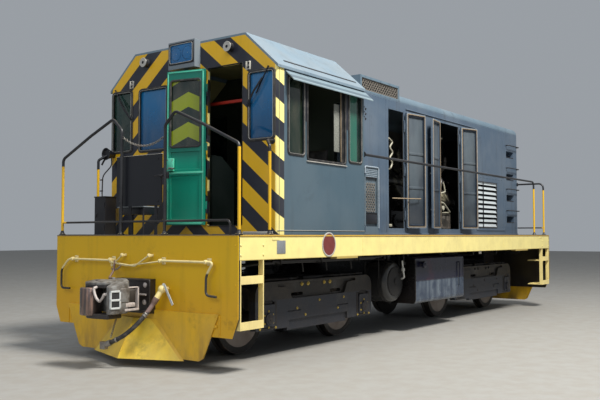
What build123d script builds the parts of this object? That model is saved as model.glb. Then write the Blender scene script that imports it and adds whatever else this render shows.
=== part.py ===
from build123d import *
import os
from math import hypot, pi, radians, tan

os.makedirs("parts", exist_ok=True)

# A narrow-gauge diesel locomotive with its cab at one end, on two four-wheel trucks.
# X runs along it with the cab end at -X, the side with the open hood doors is -Y, and Z is the
# height above the lowest point of the wheel flanges. Sizes are in millimetres.
# A station is a distance back from the outer face of the front end plate.

# Frame and deck
FRAME_LENGTH = 9463.0
FRAME_HALF_WIDTH = 1440.0
DECK_TOP = 1406.0
DECK_THICKNESS = 20.0
SILL_DEPTH = 240.0
SILL_WEB = 16.0
SILL_FLANGE = 90.0
CENTRE_SILL_Y = 330.0
CENTRE_SILL_DEPTH = 285.0
CENTRE_SILL_WEB = 24.0
CENTRE_SILL_FLANGE = 180.0
BOLSTER_LENGTH = 420.0
CENTRE_PLATE_RADIUS = 190.0
CENTRE_PLATE_BOTTOM = 955.0
CROSS_BEARER_DEPTH = 150.0
CROSS_BEARER_LENGTH = 100.0
END_PLATE_THICKNESS = 25.0
END_PLATE_BOTTOM = 368.0
END_PLATE_CHAMFER = (80.0, 195.0)
PILOT_THICKNESS = 16.0
PILOT_TOP = 600.0
PILOT_BOTTOM = 108.0
PILOT_TOP_HALF = 1195.0
PILOT_BOTTOM_HALF = 985.0
PLOW_TOP_REACH = 62.0
PLOW_BOTTOM_REACH = 290.0
PLOW_TOP_HALF = 300.0
PLOW_BOTTOM_HALF = 720.0
PLOW_TOP = 505.0
PLOW_BOTTOM = 90.0

# Trucks and wheelsets
TRUCK_STATIONS = {"front": 2120.0, "rear": 7343.0}
WHEELBASE = 2080.0
WHEEL_RADIUS = 419.0
FLANGE_DEPTH = 26.0
FLANGE_WIDTH = 32.0
WHEEL_BACK_Y = 424.0
WHEEL_WIDTH = 130.0
RIM_DEPTH = 70.0
WHEEL_PLATE = 28.0
HUB_RADIUS = 115.0
AXLE_RADIUS = 80.0
JOURNAL_RADIUS = 62.0
JOURNAL_END_Y = 925.0
RUNNING_GAP = 0.3
SIDEFRAME_Y = (865.0, 961.0)
SIDEFRAME_TOP = 866.0
SIDEFRAME_HALF = 1262.0
SIDEFRAME_SHOULDER = 150.0
PEDESTAL_INNER = 640.0
PEDESTAL_BOTTOM = 318.0
PEDESTAL_TOE = 45.0
BEAM_BOTTOM = 404.0
BEAM_TOP = 655.0
WEB_RECESS = 38.0
RIM_HEIGHT = 28.0
WEB_SLOT = (300.0, 540.0, 676.0, 716.0)
BEAM_SLOT = (400.0, 660.0, 498.0, 514.0)
PLANK_BOTTOM = 284.0
PLANK_SETBACK = 24.0
JAW_HALF = 170.0
JAW_TOP = 652.0
JAW_SILL = 356.0
BOX_HALF = 120.0
BOX_TOP = 612.0
BOX_OUT_Y = 978.0
BOX_CAP_RADIUS = 72.0
BOX_CAP_DEPTH = 26.0
PEDESTAL_LINER = 12.0
SHOE_GAP = 12.0
SHOE_THICKNESS = 44.0
SHOE_YS = (466.0, 540.0)
SHOE_HALF_HEIGHT = 150.0
HANGER_HALF = 18.0
TRUCK_BOLSTER_HALF = 210.0
TRUCK_BOLSTER_BOTTOM = 640.0
TRANSOM_HALF = 330.0
TRANSOM_Z = (430.0, 800.0)
MOTOR_HALF_WIDTH = 330.0
MOTOR_RADIUS = 235.0
MOTOR_CLEARANCE = 14.0

# Cab
CAB_FRONT = 740.0
CAB_LENGTH = 1820.0
CAB_HALF = 1356.0
CAB_WALL = 45.0
CAB_CORNER = 40.0
CAB_FLOOR_TOP = 1516.0
EAVES_Z = 3252.0
ROOF_FLAT_Z = 3664.0
ROOF_FLAT_HALF = 898.0
ROOF_THICKNESS = 25.0
ROOF_OVERHANG = 15.0
WINDOW_CORNER = 45.0
PANE = 6.0
DOOR_Y = (-860.0, -334.0)
DOOR_HEAD = 3346.0
DOOR_LEAF = 40.0
AWNING_REACH = 118.0
AWNING_DROP = 112.0
AWNING_THICKNESS = 14.0
AWNING_STATIONS = (890.0, 2600.0)
HEADLIGHT_HALF = 215.0
HEADLIGHT_REACH = 100.0
HEADLIGHT_Z = (3376.0, 3704.0)
LAMP_RADIUS = 78.0
LAMP_Y = 92.0
MARKER_Y = 690.0
MARKER_Z = 3546.0
MARKER_RADIUS = 52.0

# Hood
HOOD_HALF = 830.0
HOOD_END = 9432.0
HOOD_SHEET = 20.0
HOOD_TOP = 3556.0
HOOD_SHOULDER = 130.0
HOOD_CORNER = 70.0
DOOR_SILL = 1506.0
HOOD_DOOR_HEAD = 3282.0
HOOD_LEAF = 34.0
LEAF_FRAME = 42.0
LEAF_SKIN = 6.0
LOUVRE_STATIONS = (7380.0, 8300.0)
LOUVRE_Z = (1540.0, 2395.0)
LOUVRE_COUNT = 10
INTAKE_STATIONS = (3340.0, 4465.0)
INTAKE_TOP = 3666.0

# Hinges
HINGE_OFFSET = 12.0
HINGE_GAP = 6.0
FREE_EDGE_GAP = 9.0
MEETING_GAP = 10.0
HINGE_RADIUS = 7.0
HINGE_BARREL = 90.0
HINGE_WING = 44.0

# Rails, steps and small gear
RAIL_RADIUS = 17.0
ROD_RADIUS = 12.0
SIDE_RAIL_Y = 1340.0
SIDE_RAIL_Z = 2434.0
SIDE_POST_STATION = 8900.0
CORNER_POST_Y = 1410.0
CORNER_POST_STATION = 50.0
STEP_STATIONS = (34.0, 412.0)
STEP_DEPTH = 290.0
STEP_BOTTOM = 446.0
STEP_MID = 905.0
STEP_LIP = 84.0
COUPLER_Z = 745.0
COUPLER_HEIGHT = 320.0
KNUCKLE_HEIGHT = 290.0
SHANK_HALF = 75.0
DRAFT_HALF = 270.0
DRAFT_Z = (COUPLER_Z - 185.0, COUPLER_Z + 185.0)
DRAFT_LENGTH = 480.0
DRAFT_NOSE = 70.0
DRAFT_CHEEK = 24.0
HOSE_RADIUS = 24.0

# Tanks and machinery
FUEL_STATIONS = (4130.0, 5800.0)
FUEL_Z = (416.0, 1091.0)
FUEL_HALF = 1250.0
FUEL_ROUND = 45.0
FUEL_FILLER_STATION = 4330.0
FUEL_FILLER_Z = 980.0
FUEL_FILLER_RADIUS = 42.0
FUEL_HANGER_YS = (700.0, 1000.0)
FUEL_HANGER_HALF = 30.0
RESERVOIR_STATION = 3795.0
RESERVOIR_Z = 750.0
RESERVOIR_RADIUS = 290.0
RESERVOIR_YS = (700.0, 1100.0)
BEARER_STATIONS = (3795.0, 4400.0, 5500.0, 6000.0)


def st(station):
    """X of a station."""
    return station - FRAME_LENGTH / 2


def block(xs, ys, zs, mode=Mode.ADD):
    """A box between two values on each axis, given in any order."""
    sizes = [abs(pair[1] - pair[0]) for pair in (xs, ys, zs)]
    centre = [(pair[0] + pair[1]) / 2 for pair in (xs, ys, zs)]
    with Locations(tuple(centre)):
        Box(*sizes, mode=mode)


def prism_x(outline, xs, mode=Mode.ADD):
    """An outline of (y, z) points between two x values."""
    with BuildSketch(Plane.YZ.offset(min(xs))) as face:
        Polygon(*outline, align=None)
    extrude(face.sketch, amount=abs(xs[1] - xs[0]), mode=mode)


def prism_y(outline, ys, mode=Mode.ADD):
    """An outline of (x, z) points between two y values."""
    with BuildSketch(Plane.XZ.offset(-max(ys))) as face:
        Polygon(*outline, align=None)
    extrude(face.sketch, amount=abs(ys[1] - ys[0]), mode=mode)


def window_x(centre_y, width, zs, xs, mode=Mode.SUBTRACT):
    """A round-cornered window through a wall that faces along X."""
    with BuildSketch(Plane.YZ.offset(min(xs))) as face:
        with Locations((centre_y, sum(zs) / 2)):
            RectangleRounded(width, zs[1] - zs[0], WINDOW_CORNER)
    extrude(face.sketch, amount=abs(xs[1] - xs[0]), mode=mode)


def window_y(centre_x, width, zs, ys, mode=Mode.SUBTRACT):
    """A round-cornered window through a wall that faces along Y."""
    with BuildSketch(Plane.XZ.offset(-max(ys))) as face:
        with Locations((centre_x, sum(zs) / 2)):
            RectangleRounded(width, zs[1] - zs[0], WINDOW_CORNER)
    extrude(face.sketch, amount=abs(ys[1] - ys[0]), mode=mode)


def rod(points, bend, radius):
    """A round bar along a path with rounded corners."""
    with BuildLine() as path:
        if len(points) == 2:
            Line(*points)
        else:
            FilletPolyline(*points, radius=bend)
    with BuildSketch(Plane(origin=path.line @ 0, z_dir=path.line % 0)) as section:
        Circle(radius)
    sweep(section.sketch, path=path.line)


def cylinder_y(x, ys, z, radius, mode=Mode.ADD):
    """A cylinder along Y."""
    with BuildSketch(Plane.XZ.offset(-max(ys))) as face:
        with Locations((x, z)):
            Circle(radius)
    extrude(face.sketch, amount=abs(ys[1] - ys[0]), mode=mode)


def cylinder_x(xs, y, z, radius, mode=Mode.ADD):
    """A cylinder along X."""
    with BuildSketch(Plane.YZ.offset(min(xs))) as face:
        with Locations((y, z)):
            Circle(radius)
    extrude(face.sketch, amount=abs(xs[1] - xs[0]), mode=mode)


def save(builder, name):
    """Label a finished piece and write it."""
    builder.part.label = name
    export_step(builder.part, f"parts/{name}.step")


FRAME_BACK = FRAME_LENGTH - END_PLATE_THICKNESS
DECK_BOTTOM = DECK_TOP - DECK_THICKNESS
SILL_BOTTOM = DECK_BOTTOM - SILL_DEPTH
INNER_SILL_Y = FRAME_HALF_WIDTH - SILL_WEB
FRAME_XS = (st(END_PLATE_THICKNESS), st(FRAME_BACK))

# Underframe: deck plate, cab floor, centre sills, body bolsters and cross bearers
with BuildPart() as underframe:
    block(FRAME_XS, (-FRAME_HALF_WIDTH, FRAME_HALF_WIDTH), (DECK_BOTTOM, DECK_TOP))
    cab_floor_xs = (st(CAB_FRONT + CAB_WALL), st(CAB_FRONT + CAB_LENGTH - CAB_WALL))
    cab_inner = CAB_HALF - CAB_WALL
    block(cab_floor_xs, (-cab_inner, cab_inner), (DECK_TOP, CAB_FLOOR_TOP))
    for side in (-1, 1):
        web_y = side * CENTRE_SILL_Y
        sill_foot = DECK_BOTTOM - CENTRE_SILL_DEPTH
        block(FRAME_XS, (web_y - CENTRE_SILL_WEB / 2, web_y + CENTRE_SILL_WEB / 2), (sill_foot, DECK_BOTTOM))
        block(FRAME_XS, (web_y - CENTRE_SILL_FLANGE / 2, web_y + CENTRE_SILL_FLANGE / 2),
              (sill_foot, sill_foot + CENTRE_SILL_WEB))
    for station in TRUCK_STATIONS.values():
        bolster_xs = (st(station - BOLSTER_LENGTH / 2), st(station + BOLSTER_LENGTH / 2))
        block(bolster_xs, (-INNER_SILL_Y, INNER_SILL_Y), (SILL_BOTTOM + SILL_WEB, DECK_BOTTOM))
        block(bolster_xs, (-CENTRE_SILL_Y, CENTRE_SILL_Y), (sill_foot, DECK_BOTTOM))
        with Locations((st(station), 0, CENTRE_PLATE_BOTTOM)):
            Cylinder(CENTRE_PLATE_RADIUS, sill_foot - CENTRE_PLATE_BOTTOM,
                     align=(Align.CENTER, Align.CENTER, Align.MIN))
    for station in BEARER_STATIONS:
        bearer_xs = (st(station - CROSS_BEARER_LENGTH / 2), st(station + CROSS_BEARER_LENGTH / 2))
        block(bearer_xs, (-INNER_SILL_Y, INNER_SILL_Y), (DECK_BOTTOM - CROSS_BEARER_DEPTH, DECK_BOTTOM))
save(underframe, "underframe")

# Side sills: a channel along each edge of the deck, with jacking pads under it
JACK_PADS = ((1790.0, 2260.0), (7640.0, 8250.0))
JACK_PAD_DROP = 22.0
with BuildPart() as side_sills:
    for side in (-1, 1):
        outer = side * FRAME_HALF_WIDTH
        inner = side * INNER_SILL_Y
        toe = side * (FRAME_HALF_WIDTH - SILL_FLANGE)
        block(FRAME_XS, (outer, inner), (SILL_BOTTOM, DECK_BOTTOM))
        block(FRAME_XS, (outer, toe), (SILL_BOTTOM, SILL_BOTTOM + SILL_WEB))
        for pad in JACK_PADS:
            block((st(pad[0]), st(pad[1])), (outer, toe), (SILL_BOTTOM - JACK_PAD_DROP, SILL_BOTTOM))
save(side_sills, "side_sills")

# End plates, each with a hole for the draft box
chamfer_y, chamfer_z = END_PLATE_CHAMFER
end_plate_outline = [
    (-FRAME_HALF_WIDTH, DECK_TOP),
    (FRAME_HALF_WIDTH, DECK_TOP),
    (FRAME_HALF_WIDTH, END_PLATE_BOTTOM + chamfer_z),
    (FRAME_HALF_WIDTH - chamfer_y, END_PLATE_BOTTOM),
    (-FRAME_HALF_WIDTH + chamfer_y, END_PLATE_BOTTOM),
    (-FRAME_HALF_WIDTH, END_PLATE_BOTTOM + chamfer_z),
]
pilot_outline = [
    (-PILOT_TOP_HALF, PILOT_TOP),
    (PILOT_TOP_HALF, PILOT_TOP),
    (PILOT_BOTTOM_HALF, PILOT_BOTTOM + 30),
    (PILOT_BOTTOM_HALF - 60, PILOT_BOTTOM),
    (60 - PILOT_BOTTOM_HALF, PILOT_BOTTOM),
    (-PILOT_BOTTOM_HALF, PILOT_BOTTOM + 30),
]
END_STATIONS = {"front": (0.0, END_PLATE_THICKNESS), "rear": (FRAME_BACK, FRAME_LENGTH)}
OUTWARD = {"front": -1, "rear": 1}
for end, stations in END_STATIONS.items():
    out = OUTWARD[end]
    plate_xs = (st(stations[0]), st(stations[1]))
    face_x = out * FRAME_LENGTH / 2
    with BuildPart() as end_plate:
        prism_x(end_plate_outline, plate_xs)
        block(plate_xs, (-DRAFT_HALF, DRAFT_HALF), DRAFT_Z, Mode.SUBTRACT)
    save(end_plate, f"end_plate_{end}")

    # Pilot: a sheet bolted to the end plate; the front one carries a V plow
    with BuildPart() as pilot:
        prism_x(pilot_outline, (face_x, face_x + out * PILOT_THICKNESS))
        if end == "front":
            sheet_x = face_x - PILOT_THICKNESS
            with BuildSketch(Plane.XY.offset(PLOW_BOTTOM)):
                Polygon((sheet_x, -PLOW_BOTTOM_HALF), (sheet_x, PLOW_BOTTOM_HALF),
                        (face_x - PLOW_BOTTOM_REACH, 0), align=None)
            with BuildSketch(Plane.XY.offset(PLOW_TOP)):
                Polygon((sheet_x, -PLOW_TOP_HALF), (sheet_x, PLOW_TOP_HALF),
                        (face_x - PLOW_TOP_REACH, 0), align=None)
            loft()
        block((face_x, face_x + out * PILOT_THICKNESS), (-DRAFT_HALF, DRAFT_HALF), (DRAFT_Z[0], PILOT_TOP),
              Mode.SUBTRACT)
    save(pilot, f"pilot_{end}")

# Corner steps under the deck: two treads between two stringers at each corner
with BuildPart() as corner_steps:
    for side in (-1, 1):
        face = side * FRAME_HALF_WIDTH
        back = side * (FRAME_HALF_WIDTH - STEP_DEPTH)
        for low, high in (STEP_STATIONS, (FRAME_LENGTH - STEP_STATIONS[1], FRAME_LENGTH - STEP_STATIONS[0])):
            for edge in ((low, low + 16.0), (high - 16.0, high)):
                block((st(edge[0]), st(edge[1])), (face, face - side * 62.0), (STEP_BOTTOM, SILL_BOTTOM))
            for tread in (STEP_BOTTOM, STEP_MID):
                block((st(low), st(high)), (face, back), (tread, tread + 18.0))
                block((st(low), st(high)), (face, face - side * 10.0), (tread, tread + STEP_LIP))
save(corner_steps, "corner_steps")

# Trucks: cast side frames with pedestal jaws, journal boxes, bolster and transom
AXLE_Z = WHEEL_RADIUS + FLANGE_DEPTH
AXLE_OFFSET = WHEELBASE / 2


def sideframe(centre_x, side):
    """One cast side frame with its journal boxes."""
    inner, outer = side * SIDEFRAME_Y[0], side * SIDEFRAME_Y[1]
    middle_z = (PEDESTAL_BOTTOM + SIDEFRAME_TOP) / 2
    with BuildSketch(Plane.XZ.offset(-max(inner, outer))) as outline:
        with Locations((centre_x, middle_z)):
            Rectangle(2 * SIDEFRAME_HALF, SIDEFRAME_TOP - PEDESTAL_BOTTOM)
        fillet(outline.vertices().sort_by(Axis.Y)[-2:], SIDEFRAME_SHOULDER)
        fillet(outline.vertices().sort_by(Axis.Y)[:2], PEDESTAL_TOE)
        with Locations((centre_x, PEDESTAL_BOTTOM)):
            Rectangle(2 * PEDESTAL_INNER, 2 * (BEAM_BOTTOM - PEDESTAL_BOTTOM), mode=Mode.SUBTRACT)
        for end in (-1, 1):
            with Locations((centre_x + end * AXLE_OFFSET, (JAW_SILL + JAW_TOP) / 2)):
                RectangleRounded(2 * JAW_HALF, JAW_TOP - JAW_SILL, 110, mode=Mode.SUBTRACT)
            with Locations((centre_x + end * sum(WEB_SLOT[:2]) / 2, sum(WEB_SLOT[2:]) / 2)):
                RectangleRounded(WEB_SLOT[1] - WEB_SLOT[0], WEB_SLOT[3] - WEB_SLOT[2], 18, mode=Mode.SUBTRACT)
    extrude(outline.sketch, amount=abs(outer - inner))

    # The web above the beam is set back, with a shoulder curve at each end and a rim along the top
    recessed = outer - side * WEB_RECESS
    rim = SIDEFRAME_TOP - RIM_HEIGHT
    with BuildSketch(Plane.XZ.offset(-max(recessed, outer))) as pocket:
        Polygon((centre_x - 580, BEAM_TOP), (centre_x + 580, BEAM_TOP), (centre_x + 650, rim - 42),
                (centre_x + 850, rim - 34), (centre_x + 850, rim), (centre_x - 850, rim),
                (centre_x - 850, rim - 34), (centre_x - 650, rim - 42), align=None)
        fillet(pocket.vertices().group_by(Axis.Y)[1], 60)
        fillet(pocket.vertices().group_by(Axis.Y)[0], 50)
    extrude(pocket.sketch, amount=abs(outer - recessed), mode=Mode.SUBTRACT)
    for end in (-1, 1):
        block((centre_x + end * BEAM_SLOT[0], centre_x + end * BEAM_SLOT[1]), (outer - side * 14, outer),
              BEAM_SLOT[2:], Mode.SUBTRACT)
    block((centre_x - PEDESTAL_INNER, centre_x + PEDESTAL_INNER),
          (inner + side * PLANK_SETBACK, outer - side * PLANK_SETBACK), (PLANK_BOTTOM, BEAM_BOTTOM))

    # Journal boxes between their liners, each with a round cap
    for end in (-1, 1):
        axle_x = centre_x + end * AXLE_OFFSET
        box_ys = (side * (SIDEFRAME_Y[0] - 10.0), side * BOX_OUT_Y)
        with BuildSketch(Plane.XZ.offset(-max(box_ys))) as box:
            with Locations((axle_x, (JAW_SILL + BOX_TOP) / 2)):
                RectangleRounded(2 * BOX_HALF, BOX_TOP - JAW_SILL, 40)
        extrude(box.sketch, amount=abs(box_ys[1] - box_ys[0]))
        for way in (-1, 1):
            block((axle_x + way * BOX_HALF, axle_x + way * JAW_HALF), (inner, outer - side * 10),
                  (AXLE_Z - 70, AXLE_Z + 90))
        cylinder_y(axle_x, (box_ys[1], box_ys[1] + side * BOX_CAP_DEPTH), AXLE_Z, BOX_CAP_RADIUS)
        cylinder_y(axle_x, (box_ys[0], side * (JOURNAL_END_Y + 5.0)), AXLE_Z,
                   JOURNAL_RADIUS + RUNNING_GAP, Mode.SUBTRACT)


for end, station in TRUCK_STATIONS.items():
    centre_x = st(station)
    with BuildPart() as truck_sideframes:
        for side in (-1, 1):
            sideframe(centre_x, side)
    save(truck_sideframes, f"truck_{end}_sideframes")

    bolster_top = SIDEFRAME_TOP + 30.0
    with BuildPart() as truck_bolster:
        frame_ys = (-SIDEFRAME_Y[0], SIDEFRAME_Y[0])
        block((centre_x - TRANSOM_HALF, centre_x + TRANSOM_HALF), frame_ys, TRANSOM_Z)
        block((centre_x - TRUCK_BOLSTER_HALF, centre_x + TRUCK_BOLSTER_HALF), frame_ys,
              (TRUCK_BOLSTER_BOTTOM, bolster_top))
        with Locations((centre_x, 0, bolster_top)):
            Cylinder(CENTRE_PLATE_RADIUS + 20.0, CENTRE_PLATE_BOTTOM - RUNNING_GAP - bolster_top,
                     align=(Align.CENTER, Align.CENTER, Align.MIN))
    save(truck_bolster, f"truck_{end}_bolster")

    with BuildPart() as truck_motors:
        for way in (-1, 1):
            near = centre_x + way * TRANSOM_HALF
            far = centre_x + way * (AXLE_OFFSET - AXLE_RADIUS - MOTOR_CLEARANCE)
            middle = (near + far) / 2
            motor_z = AXLE_Z + 20.0
            block((near, middle), (-MOTOR_HALF_WIDTH + 60, MOTOR_HALF_WIDTH - 60),
                  (TRANSOM_Z[0] + 20, motor_z + 120))
            with BuildSketch(Plane.XZ.offset(-MOTOR_HALF_WIDTH)):
                with Locations((middle + way * 40.0, motor_z)):
                    RegularPolygon(MOTOR_RADIUS, 8, rotation=22.5)
            extrude(amount=2 * MOTOR_HALF_WIDTH)
    save(truck_motors, f"truck_{end}_motors")

    # Brake shoes on the inner side of each wheel, hung from the transom
    shoe_radius = WHEEL_RADIUS + SHOE_GAP
    with BuildPart() as truck_brakes:
        for way in (-1, 1):
            axle_x = centre_x + way * AXLE_OFFSET
            for side in (-1, 1):
                shoe_ys = (side * SHOE_YS[0], side * SHOE_YS[1])
                cylinder_y(axle_x, shoe_ys, AXLE_Z, shoe_radius + SHOE_THICKNESS)
        for way in (-1, 1):
            axle_x = centre_x + way * AXLE_OFFSET
            shoe_back = axle_x - way * (shoe_radius * 0.93)
            for side in (-1, 1):
                shoe_ys = (side * SHOE_YS[0], side * SHOE_YS[1])
                cylinder_y(axle_x, shoe_ys, AXLE_Z, shoe_radius, Mode.SUBTRACT)
                far_x = axle_x + way * (shoe_radius + SHOE_THICKNESS)
                over = 2 * AXLE_Z + 100
                block((shoe_back, far_x), shoe_ys, (0, over), Mode.SUBTRACT)
                for low, high in ((-100, AXLE_Z - SHOE_HALF_HEIGHT), (AXLE_Z + SHOE_HALF_HEIGHT, over)):
                    block((centre_x, far_x), shoe_ys, (low, high), Mode.SUBTRACT)
        for way in (-1, 1):
            axle_x = centre_x + way * AXLE_OFFSET
            hanger_x = axle_x - way * (shoe_radius + SHOE_THICKNESS)
            for side in (-1, 1):
                middle_y = side * sum(SHOE_YS) / 2
                hanger_ys = (middle_y - HANGER_HALF, middle_y + HANGER_HALF)
                hanger_top = TRANSOM_Z[1] - 20
                block((hanger_x - way * 46, hanger_x + way * 8), hanger_ys, (AXLE_Z - 60, hanger_top))
                block((centre_x + way * TRANSOM_HALF, hanger_x), hanger_ys, (hanger_top - 50, hanger_top))
    save(truck_brakes, f"truck_{end}_brakes")

    for number, way in ((1, -1), (2, 1)):
        axle_x = centre_x + way * AXLE_OFFSET
        with BuildPart() as wheelset:
            cylinder_y(axle_x, (-JOURNAL_END_Y, JOURNAL_END_Y), AXLE_Z, JOURNAL_RADIUS)
            cylinder_y(axle_x, (-SIDEFRAME_Y[0] + 85, SIDEFRAME_Y[0] - 85), AXLE_Z, AXLE_RADIUS)
            for side in (-1, 1):
                back = side * WHEEL_BACK_Y
                face = side * (WHEEL_BACK_Y + WHEEL_WIDTH)
                profile = [
                    (AXLE_RADIUS - 10, back),
                    (WHEEL_RADIUS + FLANGE_DEPTH - 8, back),
                    (WHEEL_RADIUS + FLANGE_DEPTH, back + side * 8),
                    (WHEEL_RADIUS + FLANGE_DEPTH, back + side * 16),
                    (WHEEL_RADIUS, back + side * FLANGE_WIDTH),
                    (WHEEL_RADIUS - 4, face),
                    (WHEEL_RADIUS - RIM_DEPTH, face),
                    (WHEEL_RADIUS - RIM_DEPTH - 30, back + side * (50 + WHEEL_PLATE)),
                    (HUB_RADIUS + 30, back + side * (40 + WHEEL_PLATE)),
                    (HUB_RADIUS, face),
                    (AXLE_RADIUS - 10, face),
                ]
                with BuildSketch(Plane(origin=(axle_x, 0, AXLE_Z), x_dir=(1, 0, 0), z_dir=(0, 0, 1))):
                    Polygon(*profile, align=None)
                revolve(axis=Axis((axle_x, 0, AXLE_Z), (0, 1, 0)))
        save(wheelset, f"wheelset_{end}_{number}")

# Fuel tank and air reservoir under the deck
with BuildPart() as fuel_tank:
    block((st(FUEL_STATIONS[0]), st(FUEL_STATIONS[1])), (-FUEL_HALF, FUEL_HALF), FUEL_Z)
    fillet(fuel_tank.edges().filter_by(Axis.X), FUEL_ROUND)
    for side in (-1, 1):
        cylinder_y(st(FUEL_FILLER_STATION), (side * (FUEL_HALF - 10), side * (FUEL_HALF + 50)),
                   FUEL_FILLER_Z, FUEL_FILLER_RADIUS)
    for station in BEARER_STATIONS[1:3]:
        for side in (-1, 1):
            block((st(station - FUEL_HANGER_HALF), st(station + FUEL_HANGER_HALF)),
                  (side * FUEL_HANGER_YS[0], side * FUEL_HANGER_YS[1]),
                  (FUEL_Z[1], DECK_BOTTOM - CROSS_BEARER_DEPTH))
save(fuel_tank, "fuel_tank")

with BuildPart() as air_reservoirs:
    for side in (-1, 1):
        near_y, far_y = (side * y for y in RESERVOIR_YS)
        cylinder_y(st(RESERVOIR_STATION), (near_y, far_y), RESERVOIR_Z, RESERVOIR_RADIUS)
    fillet(air_reservoirs.edges().filter_by(GeomType.CIRCLE), 60)
    for side in (-1, 1):
        block((st(RESERVOIR_STATION - 40), st(RESERVOIR_STATION + 40)),
              (side * (RESERVOIR_YS[0] + 90), side * (RESERVOIR_YS[1] - 90)),
              (RESERVOIR_Z + RESERVOIR_RADIUS - 30, DECK_BOTTOM - CROSS_BEARER_DEPTH))
save(air_reservoirs, "air_reservoirs")

# Cab: walls that meet at the corners, each with its windows
ROOF_SLOPE = (ROOF_FLAT_Z - EAVES_Z) / (CAB_HALF - ROOF_FLAT_HALF)
CAB_BACK = CAB_FRONT + CAB_LENGTH
FRONT_WALL_XS = (st(CAB_FRONT), st(CAB_FRONT + CAB_WALL))
REAR_WALL_XS = (st(CAB_BACK - CAB_WALL), st(CAB_BACK))
cab_outline = [
    (-CAB_HALF, DECK_TOP),
    (CAB_HALF, DECK_TOP),
    (CAB_HALF, EAVES_Z),
    (ROOF_FLAT_HALF, ROOF_FLAT_Z),
    (-ROOF_FLAT_HALF, ROOF_FLAT_Z),
    (-CAB_HALF, EAVES_Z),
]
# Windows: centre across the wall, width, (sill, head); the last column says which have a pane
FRONT_WINDOWS = (
    (-1138.0, 360.0, (2460.0, 3226.0)),
    (575.0, 490.0, (2446.0, 3216.0)),
    (1138.0, 360.0, (2460.0, 3226.0)),
)
REAR_WINDOWS = ((-1090.0, 330.0, (2320.0, 3130.0)), (1090.0, 330.0, (2320.0, 3130.0)))
# Side windows: centre station, width, (sill, head), glazed on the -Y side, glazed on the +Y side
SIDE_WINDOWS = (
    (1095.0, 310.0, (2306.0, 3176.0), True, True),
    (1713.0, 810.0, (2268.0, 3176.0), False, True),
    (2345.0, 300.0, (2306.0, 3176.0), True, True),
)
DOOR_HINGE_HEIGHTS = (1750.0, 2430.0, 3120.0)
DOOR_HINGE = (st(CAB_FRONT) - HINGE_OFFSET, DOOR_Y[1])


def wall_knuckles_front(heights):
    """Fixed hinge barrels beside the cab door, above and below each of its own."""
    hinge_x, hinge_y = DOOR_HINGE
    for height in heights:
        for way in (-1, 1):
            near = height + way * (HINGE_BARREL / 2 + RUNNING_GAP)
            far = near + way * HINGE_BARREL / 2
            with Locations((hinge_x, hinge_y, (near + far) / 2)):
                Cylinder(HINGE_RADIUS, abs(far - near))
            block((hinge_x + 3, st(CAB_FRONT)), (hinge_y, hinge_y + HINGE_WING), (near, far))


with BuildPart() as cab_front:
    prism_x(cab_outline, FRONT_WALL_XS)
    corners = cab_front.edges().filter_by(Axis.Z).sort_by(Axis.X)[:2]
    fillet(corners, CAB_CORNER)
    for centre, width, zs in FRONT_WINDOWS:
        window_x(centre, width, zs, FRONT_WALL_XS)
    block(FRONT_WALL_XS, DOOR_Y, (CAB_FLOOR_TOP, DOOR_HEAD), Mode.SUBTRACT)
    wall_knuckles_front(DOOR_HINGE_HEIGHTS)
save(cab_front, "cab_front")

with BuildPart() as cab_rear:
    prism_x(cab_outline, REAR_WALL_XS)
    for centre, width, zs in REAR_WINDOWS:
        window_x(centre, width, zs, REAR_WALL_XS)
save(cab_rear, "cab_rear")

SIDE_WALL_XS = (FRONT_WALL_XS[1], REAR_WALL_XS[0])
for name, side in (("near", -1), ("far", 1)):
    wall_ys = (side * CAB_HALF, side * (CAB_HALF - CAB_WALL))
    with BuildPart() as cab_side:
        prism_x([(wall_ys[0], DECK_TOP), (wall_ys[0], EAVES_Z),
                 (wall_ys[1], EAVES_Z + CAB_WALL * ROOF_SLOPE), (wall_ys[1], DECK_TOP)], SIDE_WALL_XS)
        for station, width, zs, _near, _far in SIDE_WINDOWS:
            window_y(st(station), width, zs, wall_ys)
    save(cab_side, f"cab_side_{name}")

slope_rise = ROOF_THICKNESS * hypot(1, ROOF_SLOPE)
eave_y = CAB_HALF + ROOF_OVERHANG
ridge_y = ROOF_FLAT_HALF + (slope_rise - ROOF_THICKNESS) / ROOF_SLOPE
eave_low = EAVES_Z - ROOF_OVERHANG * ROOF_SLOPE
with BuildPart() as cab_roof:
    prism_x([(-eave_y, eave_low), (-ROOF_FLAT_HALF, ROOF_FLAT_Z), (ROOF_FLAT_HALF, ROOF_FLAT_Z),
             (eave_y, eave_low), (eave_y, eave_low + slope_rise), (ridge_y, ROOF_FLAT_Z + ROOF_THICKNESS),
             (-ridge_y, ROOF_FLAT_Z + ROOF_THICKNESS), (-eave_y, eave_low + slope_rise)],
            (st(CAB_FRONT), st(CAB_BACK + ROOF_OVERHANG)))
save(cab_roof, "cab_roof")

AWNING_ROOT = EAVES_Z - 20.0
with BuildPart() as window_awnings:
    for side in (-1, 1):
        root_y = side * CAB_HALF
        tip_y = side * (CAB_HALF + AWNING_REACH)
        prism_x([(root_y, AWNING_ROOT), (tip_y, AWNING_ROOT - AWNING_DROP),
                 (tip_y, AWNING_ROOT - AWNING_DROP - AWNING_THICKNESS),
                 (root_y, AWNING_ROOT - AWNING_THICKNESS)], (st(AWNING_STATIONS[0]), st(AWNING_STATIONS[1])))
save(window_awnings, "window_awnings")

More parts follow.
